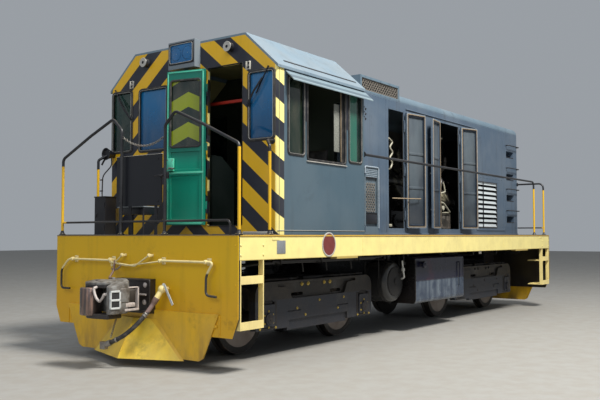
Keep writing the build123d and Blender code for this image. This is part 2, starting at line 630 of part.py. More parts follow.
with BuildPart() as cab_glass:
    for wall_xs, windows in ((FRONT_WALL_XS, FRONT_WINDOWS), (REAR_WALL_XS, REAR_WINDOWS)):
        middle = sum(wall_xs) / 2
        for centre, width, zs in windows:
            window_x(centre, width, zs, (middle - PANE / 2, middle + PANE / 2), Mode.ADD)
    for side in (-1, 1):
        middle = side * (CAB_HALF - CAB_WALL / 2)
        for station, width, zs, near, far in SIDE_WINDOWS:
            if near if side < 0 else far:
                window_y(st(station), width, zs, (middle - PANE / 2, middle + PANE / 2), Mode.ADD)
save(cab_glass, "cab_glass")

with BuildPart() as headlights:
    front_x = st(CAB_FRONT)
    block((front_x - HEADLIGHT_REACH, front_x), (-HEADLIGHT_HALF, HEADLIGHT_HALF), HEADLIGHT_Z)
    block((front_x - HEADLIGHT_REACH, front_x - 40), (-HEADLIGHT_HALF + 22, HEADLIGHT_HALF - 22),
          (HEADLIGHT_Z[0] + 60, HEADLIGHT_Z[1] - 26), Mode.SUBTRACT)
    for side in (-1, 1):
        lamp_z = (HEADLIGHT_Z[0] + HEADLIGHT_Z[1]) / 2 + 17
        cylinder_x((front_x - 70, front_x - 40), side * LAMP_Y, lamp_z, LAMP_RADIUS)
        cylinder_x((front_x - 62, front_x), side * MARKER_Y, MARKER_Z, MARKER_RADIUS)
save(headlights, "headlights")

# Cab door: hinged on its edge nearest the centre line, folded back across the front
LEAF_GAP = HINGE_GAP
CAB_DOOR_REST = -168.0
door_width = DOOR_Y[1] - DOOR_Y[0] - LEAF_GAP - FREE_EDGE_GAP
door_zs = (CAB_FLOOR_TOP + LEAF_GAP, DOOR_HEAD - LEAF_GAP)
door_plane = Plane(origin=(DOOR_HINGE[0], DOOR_HINGE[1], 0), x_dir=(0, -1, 0), z_dir=(0, 0, 1))
door_plane = door_plane.rotated((0, 0, CAB_DOOR_REST))
# In the door's own plane x runs from the hinge to the free edge and y into the cab
DOOR_GLASS_X = (LEAF_GAP + 50.0, LEAF_GAP + door_width - 50.0)
DOOR_GLASS_Z = (2436.0, 3226.0)
DOOR_PANEL_X = (LEAF_GAP + 60.0, LEAF_GAP + door_width - 60.0)
DOOR_PANEL_DEPTH = 12.0
DOOR_RAIL_Z = (2100.0, 2176.0)
leaf_back = HINGE_OFFSET + DOOR_LEAF
with BuildPart(door_plane) as cab_door:
    block((LEAF_GAP, LEAF_GAP + door_width), (HINGE_OFFSET, leaf_back), door_zs)
    block(DOOR_GLASS_X, (HINGE_OFFSET, leaf_back), DOOR_GLASS_Z, Mode.SUBTRACT)
    for panel_zs in ((DOOR_RAIL_Z[1], DOOR_GLASS_Z[0] - 56), (door_zs[0] + 70, DOOR_RAIL_Z[0])):
        block(DOOR_PANEL_X, (leaf_back - DOOR_PANEL_DEPTH, leaf_back), panel_zs, Mode.SUBTRACT)
    for height in DOOR_HINGE_HEIGHTS:
        with Locations((0, 0, height)):
            Cylinder(HINGE_RADIUS, HINGE_BARREL)
        block((1, LEAF_GAP + HINGE_WING), (4, HINGE_OFFSET),
              (height - HINGE_BARREL / 2, height + HINGE_BARREL / 2))
save(cab_door, "cab_door")

with BuildPart(door_plane) as cab_door_glass:
    middle = HINGE_OFFSET + DOOR_LEAF / 2
    block(DOOR_GLASS_X, (middle - PANE / 2, middle + PANE / 2), DOOR_GLASS_Z)
save(cab_door_glass, "cab_door_glass")

# Hood doors. Columns: name, hinge station, other edge's station, rest angle from closed
HOOD_DOORS = {
    "a": (4596.0, 4122.0, 169.0),
    "b": (5751.0, 6173.5, 171.0),
    "c": (6596.0, 6173.5, 162.0),
}
HOOD_HINGE_HEIGHTS = (1720.0, 2394.0, 3070.0)
HOOD_OPENINGS = ((4122.0, 4596.0), (5751.0, 6596.0))


def hood_knuckles(side, heights):
    """Fixed hinge barrels on one side of the hood."""
    hinge_y = side * (HOOD_HALF + HINGE_OFFSET)
    for hinge_station, free_station, _rest in HOOD_DOORS.values():
        away = 1 if hinge_station > free_station else -1
        hinge_x = st(hinge_station)
        for height in heights:
            for way in (-1, 1):
                low = height + way * (HINGE_BARREL / 2 + RUNNING_GAP)
                high = low + way * HINGE_BARREL / 2
                with Locations((hinge_x, hinge_y, (low + high) / 2)):
                    Cylinder(HINGE_RADIUS, abs(high - low))
                block((hinge_x, hinge_x + away * HINGE_WING), (side * HOOD_HALF, hinge_y - side * 4),
                      (low, high))


NICHE_STATIONS = (8810.0, 9200.0)
NICHE_HEIGHTS = (1656.0, 2080.0, 2497.0, 2943.0)
NICHE_HEIGHT = 120.0
NICHE_DEPTH = 130.0
NICHE_SHEET = 6.0
# Each side is four sheets that meet at these stations
SHEET_JOINTS = (5620.0, 6700.0, 8715.0)
for name, side in (("near", -1), ("far", 1)):
    side_ys = (side * HOOD_HALF, side * (HOOD_HALF - HOOD_SHEET))
    with BuildPart() as hood_side:
        block((st(CAB_BACK), st(HOOD_END - HOOD_CORNER)), side_ys, (DECK_TOP, HOOD_TOP - HOOD_SHOULDER))
        for low, high in HOOD_OPENINGS:
            block((st(low), st(high)), side_ys, (DOOR_SILL, HOOD_DOOR_HEAD), Mode.SUBTRACT)
        block((st(LOUVRE_STATIONS[0]), st(LOUVRE_STATIONS[1])), side_ys, LOUVRE_Z, Mode.SUBTRACT)
        for low in NICHE_HEIGHTS:
            block((st(NICHE_STATIONS[0]), st(NICHE_STATIONS[1])), side_ys, (low, low + NICHE_HEIGHT),
                  Mode.SUBTRACT)
        hood_knuckles(side, HOOD_HINGE_HEIGHTS)
        for joint in SHEET_JOINTS:
            split(bisect_by=Plane.YZ.offset(st(joint)), keep=Keep.BOTH)
    save(hood_side, f"hood_side_{name}")

# Step niches in the hood sides, each a five-sided box behind its hole, and the grab irons over them
with BuildPart() as roof_steps:
    for side in (-1, 1):
        mouth = side * (HOOD_HALF - HOOD_SHEET)
        back = mouth - side * NICHE_DEPTH
        for low in NICHE_HEIGHTS:
            block((st(NICHE_STATIONS[0] - NICHE_SHEET), st(NICHE_STATIONS[1] + NICHE_SHEET)),
                  (mouth, back - side * NICHE_SHEET), (low - NICHE_SHEET, low + NICHE_HEIGHT + NICHE_SHEET))
            block((st(NICHE_STATIONS[0]), st(NICHE_STATIONS[1])), (mouth, back), (low, low + NICHE_HEIGHT),
                  Mode.SUBTRACT)
save(roof_steps, "roof_steps")

GRAB_STATIONS = (8800.0, 9350.0)
GRAB_OUT = 60.0
GRAB_RISE = 110.0
with BuildPart() as grab_irons:
    for side in (-1, 1):
        wall, out = side * HOOD_HALF, side * (HOOD_HALF + GRAB_OUT)
        for low in NICHE_HEIGHTS:
            z = low + NICHE_HEIGHT + GRAB_RISE
            rod([(st(GRAB_STATIONS[0]), wall, z), (st(GRAB_STATIONS[0]), out, z), (st(GRAB_STATIONS[1]), out, z),
                 (st(GRAB_STATIONS[1]), wall, z)], 25, 10.0)
save(grab_irons, "grab_irons")

# Hood roof with round shoulders, and the rear end with its radiator grille
HATCH_STATIONS = (4520.0, 5390.0)
HATCH_HALF = 640.0
HATCH_HEIGHT = 34.0
inner_top = HOOD_TOP - HOOD_SHEET
with BuildPart() as hood_roof:
    with BuildSketch(Plane.YZ.offset(st(CAB_BACK))):
        with BuildLine():
            for half, top, radius in ((HOOD_HALF, HOOD_TOP, HOOD_SHOULDER),
                                      (HOOD_HALF - HOOD_SHEET, inner_top, HOOD_SHOULDER - HOOD_SHEET)):
                RadiusArc((-half, top - radius), (radius - half, top), radius)
                Line((radius - half, top), (half - radius, top))
                RadiusArc((half - radius, top), (half, top - radius), radius)
            foot = HOOD_TOP - HOOD_SHOULDER
            Line((-HOOD_HALF, foot), (HOOD_SHEET - HOOD_HALF, foot))
            Line((HOOD_HALF, foot), (HOOD_HALF - HOOD_SHEET, foot))
        make_face()
    extrude(amount=HOOD_END - HOOD_CORNER - CAB_BACK)
    block((st(INTAKE_STATIONS[0]), st(INTAKE_STATIONS[1])), (-HOOD_HALF, HOOD_HALF),
          (HOOD_TOP - HOOD_SHOULDER, HOOD_TOP), Mode.SUBTRACT)
    with BuildSketch(Plane.XY.offset(HOOD_TOP)):
        with Locations((st(sum(HATCH_STATIONS) / 2), 0)):
            RectangleRounded(HATCH_STATIONS[1] - HATCH_STATIONS[0], 2 * HATCH_HALF, 40)
    extrude(amount=HATCH_HEIGHT)
save(hood_roof, "hood_roof")

GRILLE_HALF = 620.0
GRILLE_Z = (1620.0, 3330.0)
GRILLE_BARS = 16
GRILLE_DEPTH = 50.0
RADIATOR_DEPTH = 180.0
end_front = HOOD_END - HOOD_CORNER
grille_xs = (st(end_front + 8), st(end_front + 8 + GRILLE_DEPTH))
grille_pitch = (GRILLE_Z[1] - GRILLE_Z[0]) / GRILLE_BARS
with BuildPart() as hood_end:
    block((st(end_front), st(HOOD_END)), (-HOOD_HALF, HOOD_HALF), (DECK_TOP, HOOD_TOP))
    fillet(hood_end.edges().filter_by(Axis.X).sort_by(Axis.Z)[-2:], HOOD_SHOULDER)
    fillet(hood_end.faces().sort_by(Axis.X)[-1].edges().sort_by(Axis.Z)[1:], HOOD_CORNER - 6)
    block((st(end_front), st(HOOD_END - HOOD_SHEET)), (-HOOD_HALF + HOOD_CORNER, HOOD_HALF - HOOD_CORNER),
          (DECK_TOP + HOOD_SHEET, HOOD_TOP - HOOD_CORNER - 40), Mode.SUBTRACT)
    block((st(end_front), st(HOOD_END)), (-GRILLE_HALF, GRILLE_HALF), GRILLE_Z, Mode.SUBTRACT)
    # Grille: slanted bars between three posts
    for row in range(GRILLE_BARS):
        low = GRILLE_Z[0] + (row + 0.2) * grille_pitch
        prism_y([(grille_xs[1], low), (grille_xs[1], low + 8), (grille_xs[0], low + 58),
                 (grille_xs[0], low + 50)], (-GRILLE_HALF, GRILLE_HALF))
    for y in (-GRILLE_HALF + 10, 0, GRILLE_HALF - 10):
        block(grille_xs, (y - 10, y + 10), GRILLE_Z)
save(hood_end, "hood_end")

with BuildPart() as radiator:
    block((st(end_front - RADIATOR_DEPTH), st(end_front)), (-GRILLE_HALF - 40, GRILLE_HALF + 40),
          (DECK_TOP, GRILLE_Z[1] + 60))
save(radiator, "radiator")

LOUVRE_PITCH = (LOUVRE_Z[1] - LOUVRE_Z[0]) / LOUVRE_COUNT
LOUVRE_BORDER = 24.0
with BuildPart() as louvre_panels:
    for side in (-1, 1):
        frame_ys = (side * (HOOD_HALF - HOOD_SHEET), side * (HOOD_HALF + 8))
        block((st(LOUVRE_STATIONS[0]), st(LOUVRE_STATIONS[1])), frame_ys, LOUVRE_Z)
        block((st(LOUVRE_STATIONS[0] + LOUVRE_BORDER), st(LOUVRE_STATIONS[1] - LOUVRE_BORDER)), frame_ys,
              (LOUVRE_Z[0] + LOUVRE_BORDER, LOUVRE_Z[1] - LOUVRE_BORDER), Mode.SUBTRACT)
        for row in range(LOUVRE_COUNT):
            low = LOUVRE_Z[0] + (row + 0.25) * LOUVRE_PITCH
            out, inn = side * (HOOD_HALF + 6), side * (HOOD_HALF - HOOD_SHEET)
            prism_x([(out, low), (out, low + 6), (inn, low + 56), (inn, low + 50)],
                    (st(LOUVRE_STATIONS[0] + 10), st(LOUVRE_STATIONS[1] - 10)))
save(louvre_panels, "louvre_panels")

# Roof intake: a frame with a recessed screen on each side and a lid
INTAKE_FRAME = 36.0
INTAKE_RECESS = 24.0
with BuildPart() as intake_box:
    block((st(INTAKE_STATIONS[0]), st(INTAKE_STATIONS[1])), (-HOOD_HALF, HOOD_HALF),
          (HOOD_TOP - HOOD_SHOULDER, INTAKE_TOP))
    for side in (-1, 1):
        block((st(INTAKE_STATIONS[0] + INTAKE_FRAME), st(INTAKE_STATIONS[1] - INTAKE_FRAME)),
              (side * HOOD_HALF, side * (HOOD_HALF - INTAKE_RECESS)),
              (HOOD_TOP - HOOD_SHOULDER + INTAKE_FRAME, INTAKE_TOP - INTAKE_FRAME), Mode.SUBTRACT)
    block((st(INTAKE_STATIONS[0] + 60), st(INTAKE_STATIONS[1] - 60)), (-HOOD_HALF + 80, HOOD_HALF - 80),
          (INTAKE_TOP, INTAKE_TOP + 8))
save(intake_box, "intake_box")

for side_name, side in (("near", -1), ("far", 1)):
    for key, (hinge_station, free_station, rest) in HOOD_DOORS.items():
        way = 1 if free_station > hinge_station else -1
        free_gap = FREE_EDGE_GAP if key == "a" else MEETING_GAP / 2
        width = abs(free_station - hinge_station) - LEAF_GAP - free_gap
        # Positive turns open the leaf when way and side differ in sign
        opening = -way if side < 0 else way
        angle = opening * rest if side < 0 else 0.0
        # In the leaf's own plane x runs to its free edge; y times hand runs into the hood
        hand = -side * way
        plane = Plane(origin=(st(hinge_station), side * (HOOD_HALF + HINGE_OFFSET), 0),
                      x_dir=(way, 0, 0), z_dir=(0, 0, 1)).rotated((0, 0, angle))
        zs = (DOOR_SILL + LEAF_GAP, HOOD_DOOR_HEAD - LEAF_GAP)
        with BuildPart(plane) as hood_door:
            block((LEAF_GAP, LEAF_GAP + width), (hand * HINGE_OFFSET, hand * (HINGE_OFFSET + HOOD_LEAF)), zs)
            block((LEAF_GAP + LEAF_FRAME, LEAF_GAP + width - LEAF_FRAME),
                  (hand * (HINGE_OFFSET + LEAF_SKIN), hand * (HINGE_OFFSET + HOOD_LEAF)),
                  (zs[0] + LEAF_FRAME, zs[1] - LEAF_FRAME), Mode.SUBTRACT)
            for height in HOOD_HINGE_HEIGHTS:
                with Locations((0, 0, height)):
                    Cylinder(HINGE_RADIUS, HINGE_BARREL)
                block((1, LEAF_GAP + HINGE_WING), (hand * 4, hand * HINGE_OFFSET),
                      (height - HINGE_BARREL / 2, height + HINGE_BARREL / 2))
        save(hood_door, f"hood_door_{side_name}_{key}")

# Engine set seen through the open doors: a V engine on its bed, its generator and its pipes
ENGINE_STATIONS = (4960.0, 7080.0)
ENGINE_BED_TOP = 1480.0
CYLINDER_PITCH = 345.0
CYLINDERS = 6
BANK_LENGTH = 290.0
GENERATOR_STATIONS = (3500.0, 4860.0)
GENERATOR_Z = 1960.0
GENERATOR_RADIUS = 400.0
FILTER_STATIONS = (5990.0, 6290.0)
FILTER_Y = -540.0
FILTER_RADIUS = 95.0
with BuildPart() as engine_set:
    for side in (-1, 1):
        block((st(GENERATOR_STATIONS[0]), st(ENGINE_STATIONS[1] + 120)), (side * 250, side * 430),
              (DECK_TOP, ENGINE_BED_TOP))
    engine_xs = (st(ENGINE_STATIONS[0]), st(ENGINE_STATIONS[1]))
    prism_x([(-400, ENGINE_BED_TOP), (400, ENGINE_BED_TOP), (400, 1790), (180, 2140), (-180, 2140),
             (-400, 1790)], engine_xs)
    for side in (-1, 1):
        for cylinder in range(CYLINDERS):
            x = st(ENGINE_STATIONS[0] + 20 + cylinder * CYLINDER_PITCH)
            # Cylinder head and its rounded cover, square to the bank
            prism_x([(side * 170, 2120), (side * 390, 1790), (side * 520, 1880), (side * 300, 2210)],
                    (x, x + BANK_LENGTH))
            prism_x([(side * 320, 2170), (side * 500, 1900), (side * 575, 1950), (side * 570, 2010),
                     (side * 440, 2205), (side * 390, 2215)], (x + 30, x + BANK_LENGTH - 30))
            cylinder_y(x + BANK_LENGTH / 2, (side * 380, side * 418), 1640.0, 105.0)
        cylinder_x((st(ENGINE_STATIONS[0] + 60), st(ENGINE_STATIONS[1] - 60)), side * 150, 2290.0, 75.0)
    for cylinder in range(CYLINDERS):
        x = st(ENGINE_STATIONS[0] + 20 + cylinder * CYLINDER_PITCH) + BANK_LENGTH / 2
        block((x - 50, x + 50), (-200, 200), (2130, 2260))
    # Coupling housing, generator with its end bells, and two filters beside the crankcase
    cylinder_x((st(GENERATOR_STATIONS[1] - 50), engine_xs[0] + 30), 0, GENERATOR_Z - 60, 330.0)
    cylinder_x((st(GENERATOR_STATIONS[0] + 90), st(GENERATOR_STATIONS[1] - 90)), 0, GENERATOR_Z,
               GENERATOR_RADIUS)
    for station in (GENERATOR_STATIONS[0], GENERATOR_STATIONS[1] - 100):
        cylinder_x((st(station), st(station + 100)), 0, GENERATOR_Z, GENERATOR_RADIUS + 30)
    block((st(GENERATOR_STATIONS[0] + 40), st(GENERATOR_STATIONS[1] - 40)), (-400, 400),
          (ENGINE_BED_TOP, 1640))
    for station in FILTER_STATIONS:
        with Locations((st(station), FILTER_Y, DECK_TOP)):
            Cylinder(FILTER_RADIUS, 520, align=(Align.CENTER, Align.CENTER, Align.MIN))
            Cylinder(FILTER_RADIUS - 35, 570, align=(Align.CENTER, Align.CENTER, Align.MIN))
        block((st(station - 40), st(station + 40)), (FILTER_Y + 80, -390), (1560, 1640))
    # Water and air pipes
    rod([(st(4330), -620, DECK_TOP), (st(4330), -620, 2760), (st(4560), -400, 2960), (st(5200), -150, 2960),
         (st(5200), -150, 2300)], 110, 38.0)
    rod([(st(6140), -480, 1940), (st(6140), -640, 2100), (st(6300), -640, 2350), (st(6300), -300, 2560),
         (st(6700), -150, 2560), (st(6700), -150, 2300)], 60, 30.0)
save(engine_set, "engine_set")

# Control stand with a sloped desk, and two seats
DESK_STATIONS = (900.0, 1300.0)
DESK_YS = (-260.0, 500.0)
DESK_TOP = 2350.0
DESK_LIP = 2180.0
DESK_LEVER_YS = (-140.0, 60.0, 260.0)
with BuildPart() as control_stand:
    prism_y([(st(DESK_STATIONS[0]), CAB_FLOOR_TOP), (st(DESK_STATIONS[1]), CAB_FLOOR_TOP),
             (st(DESK_STATIONS[1]), DESK_LIP), (st(DESK_STATIONS[0] + 160), DESK_TOP),
             (st(DESK_STATIONS[0]), DESK_TOP)], DESK_YS)
    for y in DESK_LEVER_YS:
        with Locations((st(DESK_STATIONS[1] - 110), y, DESK_TOP - 100)):
            Cylinder(14, 150)
save(control_stand, "control_stand")

SEAT_STATION = 1975.0
SEAT_Y = 875.0
SEAT_Z = (1950.0, 2060.0)
SEAT_WIDTH = 450.0
SEAT_BACK_TOP = 2500.0
SEAT_BACK_HALF = 205.0
with BuildPart() as cab_seats:
    for side in (-1, 1):
        with BuildSketch(Plane.XY.offset(SEAT_Z[0])):
            with Locations((st(SEAT_STATION), side * SEAT_Y)):
                RectangleRounded(SEAT_WIDTH, SEAT_WIDTH, 70)
        extrude(amount=SEAT_Z[1] - SEAT_Z[0])
        seat_edge = SEAT_STATION + SEAT_WIDTH / 2
        block((st(seat_edge - 60), st(seat_edge)),
              (side * (SEAT_Y - SEAT_BACK_HALF), side * (SEAT_Y + SEAT_BACK_HALF)), (SEAT_Z[1], SEAT_BACK_TOP))
        with Locations((st(SEAT_STATION), side * SEAT_Y, CAB_FLOOR_TOP)):
            Cylinder(60, SEAT_Z[0] - CAB_FLOOR_TOP, align=(Align.CENTER, Align.CENTER, Align.MIN))
            Cylinder(180, 20, align=(Align.CENTER, Align.CENTER, Align.MIN))
save(cab_seats, "cab_seats")

# Cabinets on the deck
CABINET_STATIONS = (3150.0, 3530.0)
CABINET_DEPTH = 170.0
CABINET_TOP = 2350.0
CABINET_VENT_Z = (1520.0, 2210.0)
FRONT_CABINET = ((470.0, 640.0), (1130.0, 1330.0), 1880.0)
with BuildPart() as deck_cabinets:
    cabinet_face = -HOOD_HALF - CABINET_DEPTH
    block((st(CABINET_STATIONS[0]), st(CABINET_STATIONS[1])), (-HOOD_HALF, cabinet_face),
          (DECK_TOP, CABINET_TOP))
    block((st(CABINET_STATIONS[0] + 40), st(CABINET_STATIONS[1] - 40)), (cabinet_face, cabinet_face + 20),
          CABINET_VENT_Z, Mode.SUBTRACT)
    with Locations((st(CABINET_STATIONS[1] + 45), -HOOD_HALF - 45, DECK_TOP)):
        Cylinder(30, CABINET_TOP - DECK_TOP - 20, align=(Align.CENTER, Align.CENTER, Align.MIN))
    stations, ys, top = FRONT_CABINET
    block((st(stations[0]), st(stations[1])), ys, (DECK_TOP, top))
save(deck_cabinets, "deck_cabinets")

SHIELD_STATIONS = (90.0, 110.0)
SHIELD_YS = (-250.0, 480.0)
SHIELD_Z = (1730.0, 2300.0)
SHIELD_LEG_YS = (-180.0, 240.0)
with BuildPart() as equipment_shield:
    block((st(SHIELD_STATIONS[0]), st(SHIELD_STATIONS[1])), SHIELD_YS, SHIELD_Z)
    for y in SHIELD_LEG_YS:
        block((st(SHIELD_STATIONS[0] + 5), st(SHIELD_STATIONS[1] - 3)), (y, y + 40), (DECK_TOP, SHIELD_Z[0]))
save(equipment_shield, "equipment_shield")

# Handrails and their posts
GRAB_STATION = 570.0
GRAB_Y = 1390.0
GRAB_WALL_Y = 1296.0
GRAB_WALL_Z = 2430.0
TOE_BAR_Z = 1556.0
REAR_POST_STATION = FRAME_LENGTH - 63.0
REAR_POST_Y = 1360.0
REAR_RAIL_Z = 2430.0
# Front rail as (y, z): corner post, two slopes up to its peak, inner post
FRONT_RAIL = [(CORNER_POST_Y, DECK_TOP), (CORNER_POST_Y, 2330.0), (900.0, 2575.0), (500.0, 2745.0),
              (350.0, 2600.0), (350.0, DECK_TOP)]
with BuildPart() as side_rails:
    for side in (-1, 1):
        rod([(st(CAB_BACK), side * SIDE_RAIL_Y, SIDE_RAIL_Z),
             (st(SIDE_POST_STATION), side * SIDE_RAIL_Y, SIDE_RAIL_Z),
             (st(SIDE_POST_STATION), side * SIDE_RAIL_Y, DECK_TOP)], 90, RAIL_RADIUS)
save(side_rails, "side_rails")

with BuildPart() as end_rails:
    for side in (-1, 1):
        rod([(st(CORNER_POST_STATION), side * y, z) for y, z in FRONT_RAIL], 70, RAIL_RADIUS)
        rod([(st(GRAB_STATION), side * GRAB_Y, DECK_TOP), (st(GRAB_STATION), side * GRAB_Y, GRAB_WALL_Z - 70),
             (st(CAB_FRONT - 90), side * GRAB_WALL_Y, GRAB_WALL_Z),
             (st(CAB_FRONT), side * GRAB_WALL_Y, GRAB_WALL_Z)], 45, RAIL_RADIUS)
        x = st(REAR_POST_STATION)
        rod([(x, side * REAR_POST_Y, DECK_TOP), (x, side * REAR_POST_Y, REAR_RAIL_Z),
             (x, side * HOOD_HALF, REAR_RAIL_Z)], 90, RAIL_RADIUS)
        rod([(x, side * (REAR_POST_Y - RAIL_RADIUS), TOE_BAR_Z - 6), (x, side * HOOD_HALF, TOE_BAR_Z - 6)], 0,
            ROD_RADIUS)
    x = st(CORNER_POST_STATION)
    rod([(x, CORNER_POST_Y, TOE_BAR_Z), (x, 120 - CORNER_POST_Y, TOE_BAR_Z), (x, 120 - CORNER_POST_Y, DECK_TOP)],
        45, ROD_RADIUS)
save(end_rails, "end_rails")

# Draft boxes behind the end plates, with the couplers in them
with BuildPart() as draft_boxes:
    for out in OUTWARD.values():
        face_x = out * FRAME_LENGTH / 2
        plate_back = face_x - out * END_PLATE_THICKNESS
        box_back = plate_back - out * DRAFT_LENGTH
        block((face_x + out * DRAFT_NOSE, box_back), (-DRAFT_HALF, DRAFT_HALF), DRAFT_Z)
        for side in (-1, 1):
            block((plate_back, box_back), (side * DRAFT_HALF, side * (DRAFT_HALF + DRAFT_CHEEK)),
                  (DRAFT_Z[0], DECK_BOTTOM - CENTRE_SILL_DEPTH))
        pocket = SHANK_HALF + RUNNING_GAP
        block((face_x + out * DRAFT_NOSE, box_back), (-pocket, pocket),
              (COUPLER_Z - pocket, COUPLER_Z + pocket), Mode.SUBTRACT)
save(draft_boxes, "draft_boxes")

# Couplers and uncoupling levers
# Head and knuckle from above, as (distance out from the end plate, distance to the knuckle's side)
HEAD_OUTLINE = [(225, -SHANK_HALF), (300, -190), (360, -235), (510, -235), (560, -205), (560, -150),
                (440, -70), (410, 10), (430, 110), (430, 215), (330, 205), (225, SHANK_HALF)]
KNUCKLE_OUTLINE = [(400, 110), (470, 75), (540, 5), (600, 0), (600, 245), (560, 275), (450, 270),
                   (400, 215)]
GUARD_POCKETS = (-40.0, 40.0)
for end, out in OUTWARD.items():
    face_x = out * FRAME_LENGTH / 2
    with BuildPart() as coupler:
        block((face_x - out * 420, face_x + out * 260), (-SHANK_HALF, SHANK_HALF),
              (COUPLER_Z - SHANK_HALF, COUPLER_Z + SHANK_HALF))
        with BuildSketch(Plane.XY.offset(COUPLER_Z - COUPLER_HEIGHT / 2)) as head:
            Polygon(*[(face_x + out * u, -out * v) for u, v in HEAD_OUTLINE], align=None)
            fillet(head.vertices().sort_by(Axis.X, reverse=out < 0)[2:], 22)
        extrude(amount=COUPLER_HEIGHT)
        chamfer(coupler.faces().sort_by(Axis.Z)[-1].edges(), 14)
        chamfer(coupler.faces().sort_by(Axis.Z)[0].edges(), 14)
        # Core pockets in the end of the guard arm
        for middle in GUARD_POCKETS:
            block((face_x + out * 480, face_x + out * 570), (out * 95, out * 210),
                  (COUPLER_Z + middle - 30, COUPLER_Z + middle + 30), Mode.SUBTRACT)
        with BuildSketch(Plane.XY.offset(COUPLER_Z - KNUCKLE_HEIGHT / 2)) as knuckle:
            Polygon(*[(face_x + out * u, -out * v) for u, v in KNUCKLE_OUTLINE], align=None)
            fillet(knuckle.vertices(), 24)
        extrude(amount=KNUCKLE_HEIGHT)
        # Knuckle pin and lock lifter
        with Locations((face_x + out * 420, -out * 165, COUPLER_Z)):
            Cylinder(24, COUPLER_HEIGHT + 40)
        with Locations((face_x + out * 290, -out * 70, COUPLER_Z + COUPLER_HEIGHT / 2)):
            Cylinder(20, 90)
    save(coupler, f"coupler_{end}")

LEVER_OUT = 60.0
LEVER_Z = 1128.0
LEVER_DROP_Y = 1130.0
LEVER_HANDLE_Z = 780.0
LEVER_EYE_YS = (400.0, 1060.0)
with BuildPart() as uncoupling_levers:
    for end, out in OUTWARD.items():
        face_x = out * FRAME_LENGTH / 2
        x = face_x + out * LEVER_OUT
        for side in (-1, 1):
            drop_y = side * LEVER_DROP_Y
            rod([(x, side * 200.0, LEVER_Z + 48), (x, side * 330.0, LEVER_Z), (x, drop_y, LEVER_Z),
                 (x, drop_y, LEVER_HANDLE_Z), (x, drop_y + side * 130.0, LEVER_HANDLE_Z)], 40, ROD_RADIUS)
            for eye in LEVER_EYE_YS:
                block((face_x, x + out * 20), (side * eye - 8, side * eye + 8), (LEVER_Z - 22, LEVER_Z + 22))
save(uncoupling_levers, "uncoupling_levers")

# Brake hose: from the angle cock it hangs forward and across to its coupling
HOSE_ROUTE = [
    (-4860.0, -424.0, 738.0),
    (-4896.0, -398.0, 664.0),
    (-4950.0, -362.0, 575.0),
    (-5012.0, -312.0, 482.0),
    (-5072.0, -240.0, 394.0),
    (-5118.0, -146.0, 322.0),
    (-5142.0, -36.0, 276.0),
]
COCK_NIPPLE = 110.0


def cord_radii(points):
    """The largest radius that the two runs beside each corner allow."""
    radii = []
    for before, corner, after in zip(points, points[1:], points[2:]):
        first = Vector(*corner) - Vector(*before)
        second = Vector(*after) - Vector(*corner)
        half_turn = radians(first.get_angle(second)) / 2
        radii.append(0.45 * min(first.length, second.length) / tan(half_turn))
    return radii


hose_radii = cord_radii(HOSE_ROUTE)
print("hose radii", [round(radius) for radius in hose_radii])
with BuildPart() as brake_hose_front:
    with BuildLine() as hose_line:
        FilletPolyline(*HOSE_ROUTE, radius=hose_radii)
    with BuildSketch(Plane(origin=hose_line.line @ 0, z_dir=hose_line.line % 0)):
        Circle(HOSE_RADIUS)
    sweep()
hose_length = sum(edge.length for edge in hose_line.edges())
print("hose length", round(hose_length), "volume ratio",
      round(brake_hose_front.part.volume / (hose_length * pi * HOSE_RADIUS**2), 4))
save(brake_hose_front, "brake_hose_front")

# Coupling head at the hose's lower end
hose_end = Vector(*HOSE_ROUTE[-1])
hose_way = (hose_end - Vector(*HOSE_ROUTE[-2])).normalized()
with BuildPart() as hose_coupling:
    with BuildSketch(Plane(origin=hose_end, z_dir=hose_way)):
        Circle(HOSE_RADIUS + 8)
    extrude(amount=70)
    head = hose_end + hose_way * 95
    with Locations((head.X, head.Y, head.Z)):
        Box(46, 80, 78)
save(hose_coupling, "hose_coupling")

# Angle cocks: pipe stub, body and a nipple in line with the hose's first run
first_run = (Vector(*HOSE_ROUTE[1]) - Vector(*HOSE_ROUTE[0])).normalized()
with BuildPart() as angle_cocks:
    for end, out in OUTWARD.items():
        nipple_way = Vector(-out * first_run.X, -out * first_run.Y, first_run.Z)
        nipple_foot = Vector(-out * HOSE_ROUTE[0][0], -out * HOSE_ROUTE[0][1], HOSE_ROUTE[0][2])
        cock = nipple_foot - nipple_way * COCK_NIPPLE
        cylinder_x((out * FRAME_LENGTH / 2, cock.X), cock.Y, cock.Z, 24.0)
        with Locations((cock.X, cock.Y, cock.Z)):
            Sphere(44)
        with BuildSketch(Plane(origin=cock, z_dir=nipple_way)):
            Circle(HOSE_RADIUS + 6)
        extrude(amount=COCK_NIPPLE)
save(angle_cocks, "angle_cocks")
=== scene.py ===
"""Looks of the diesel locomotive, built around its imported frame.

Metres, in the frame's own axes: X runs from the cab end to the hood end, -Y is the side that the
photograph shows, Z is the height above the lowest point of the wheel flanges.
"""
import random
from math import cos, pi, radians, sin

import bmesh
import bpy
from mathutils import Matrix, Vector


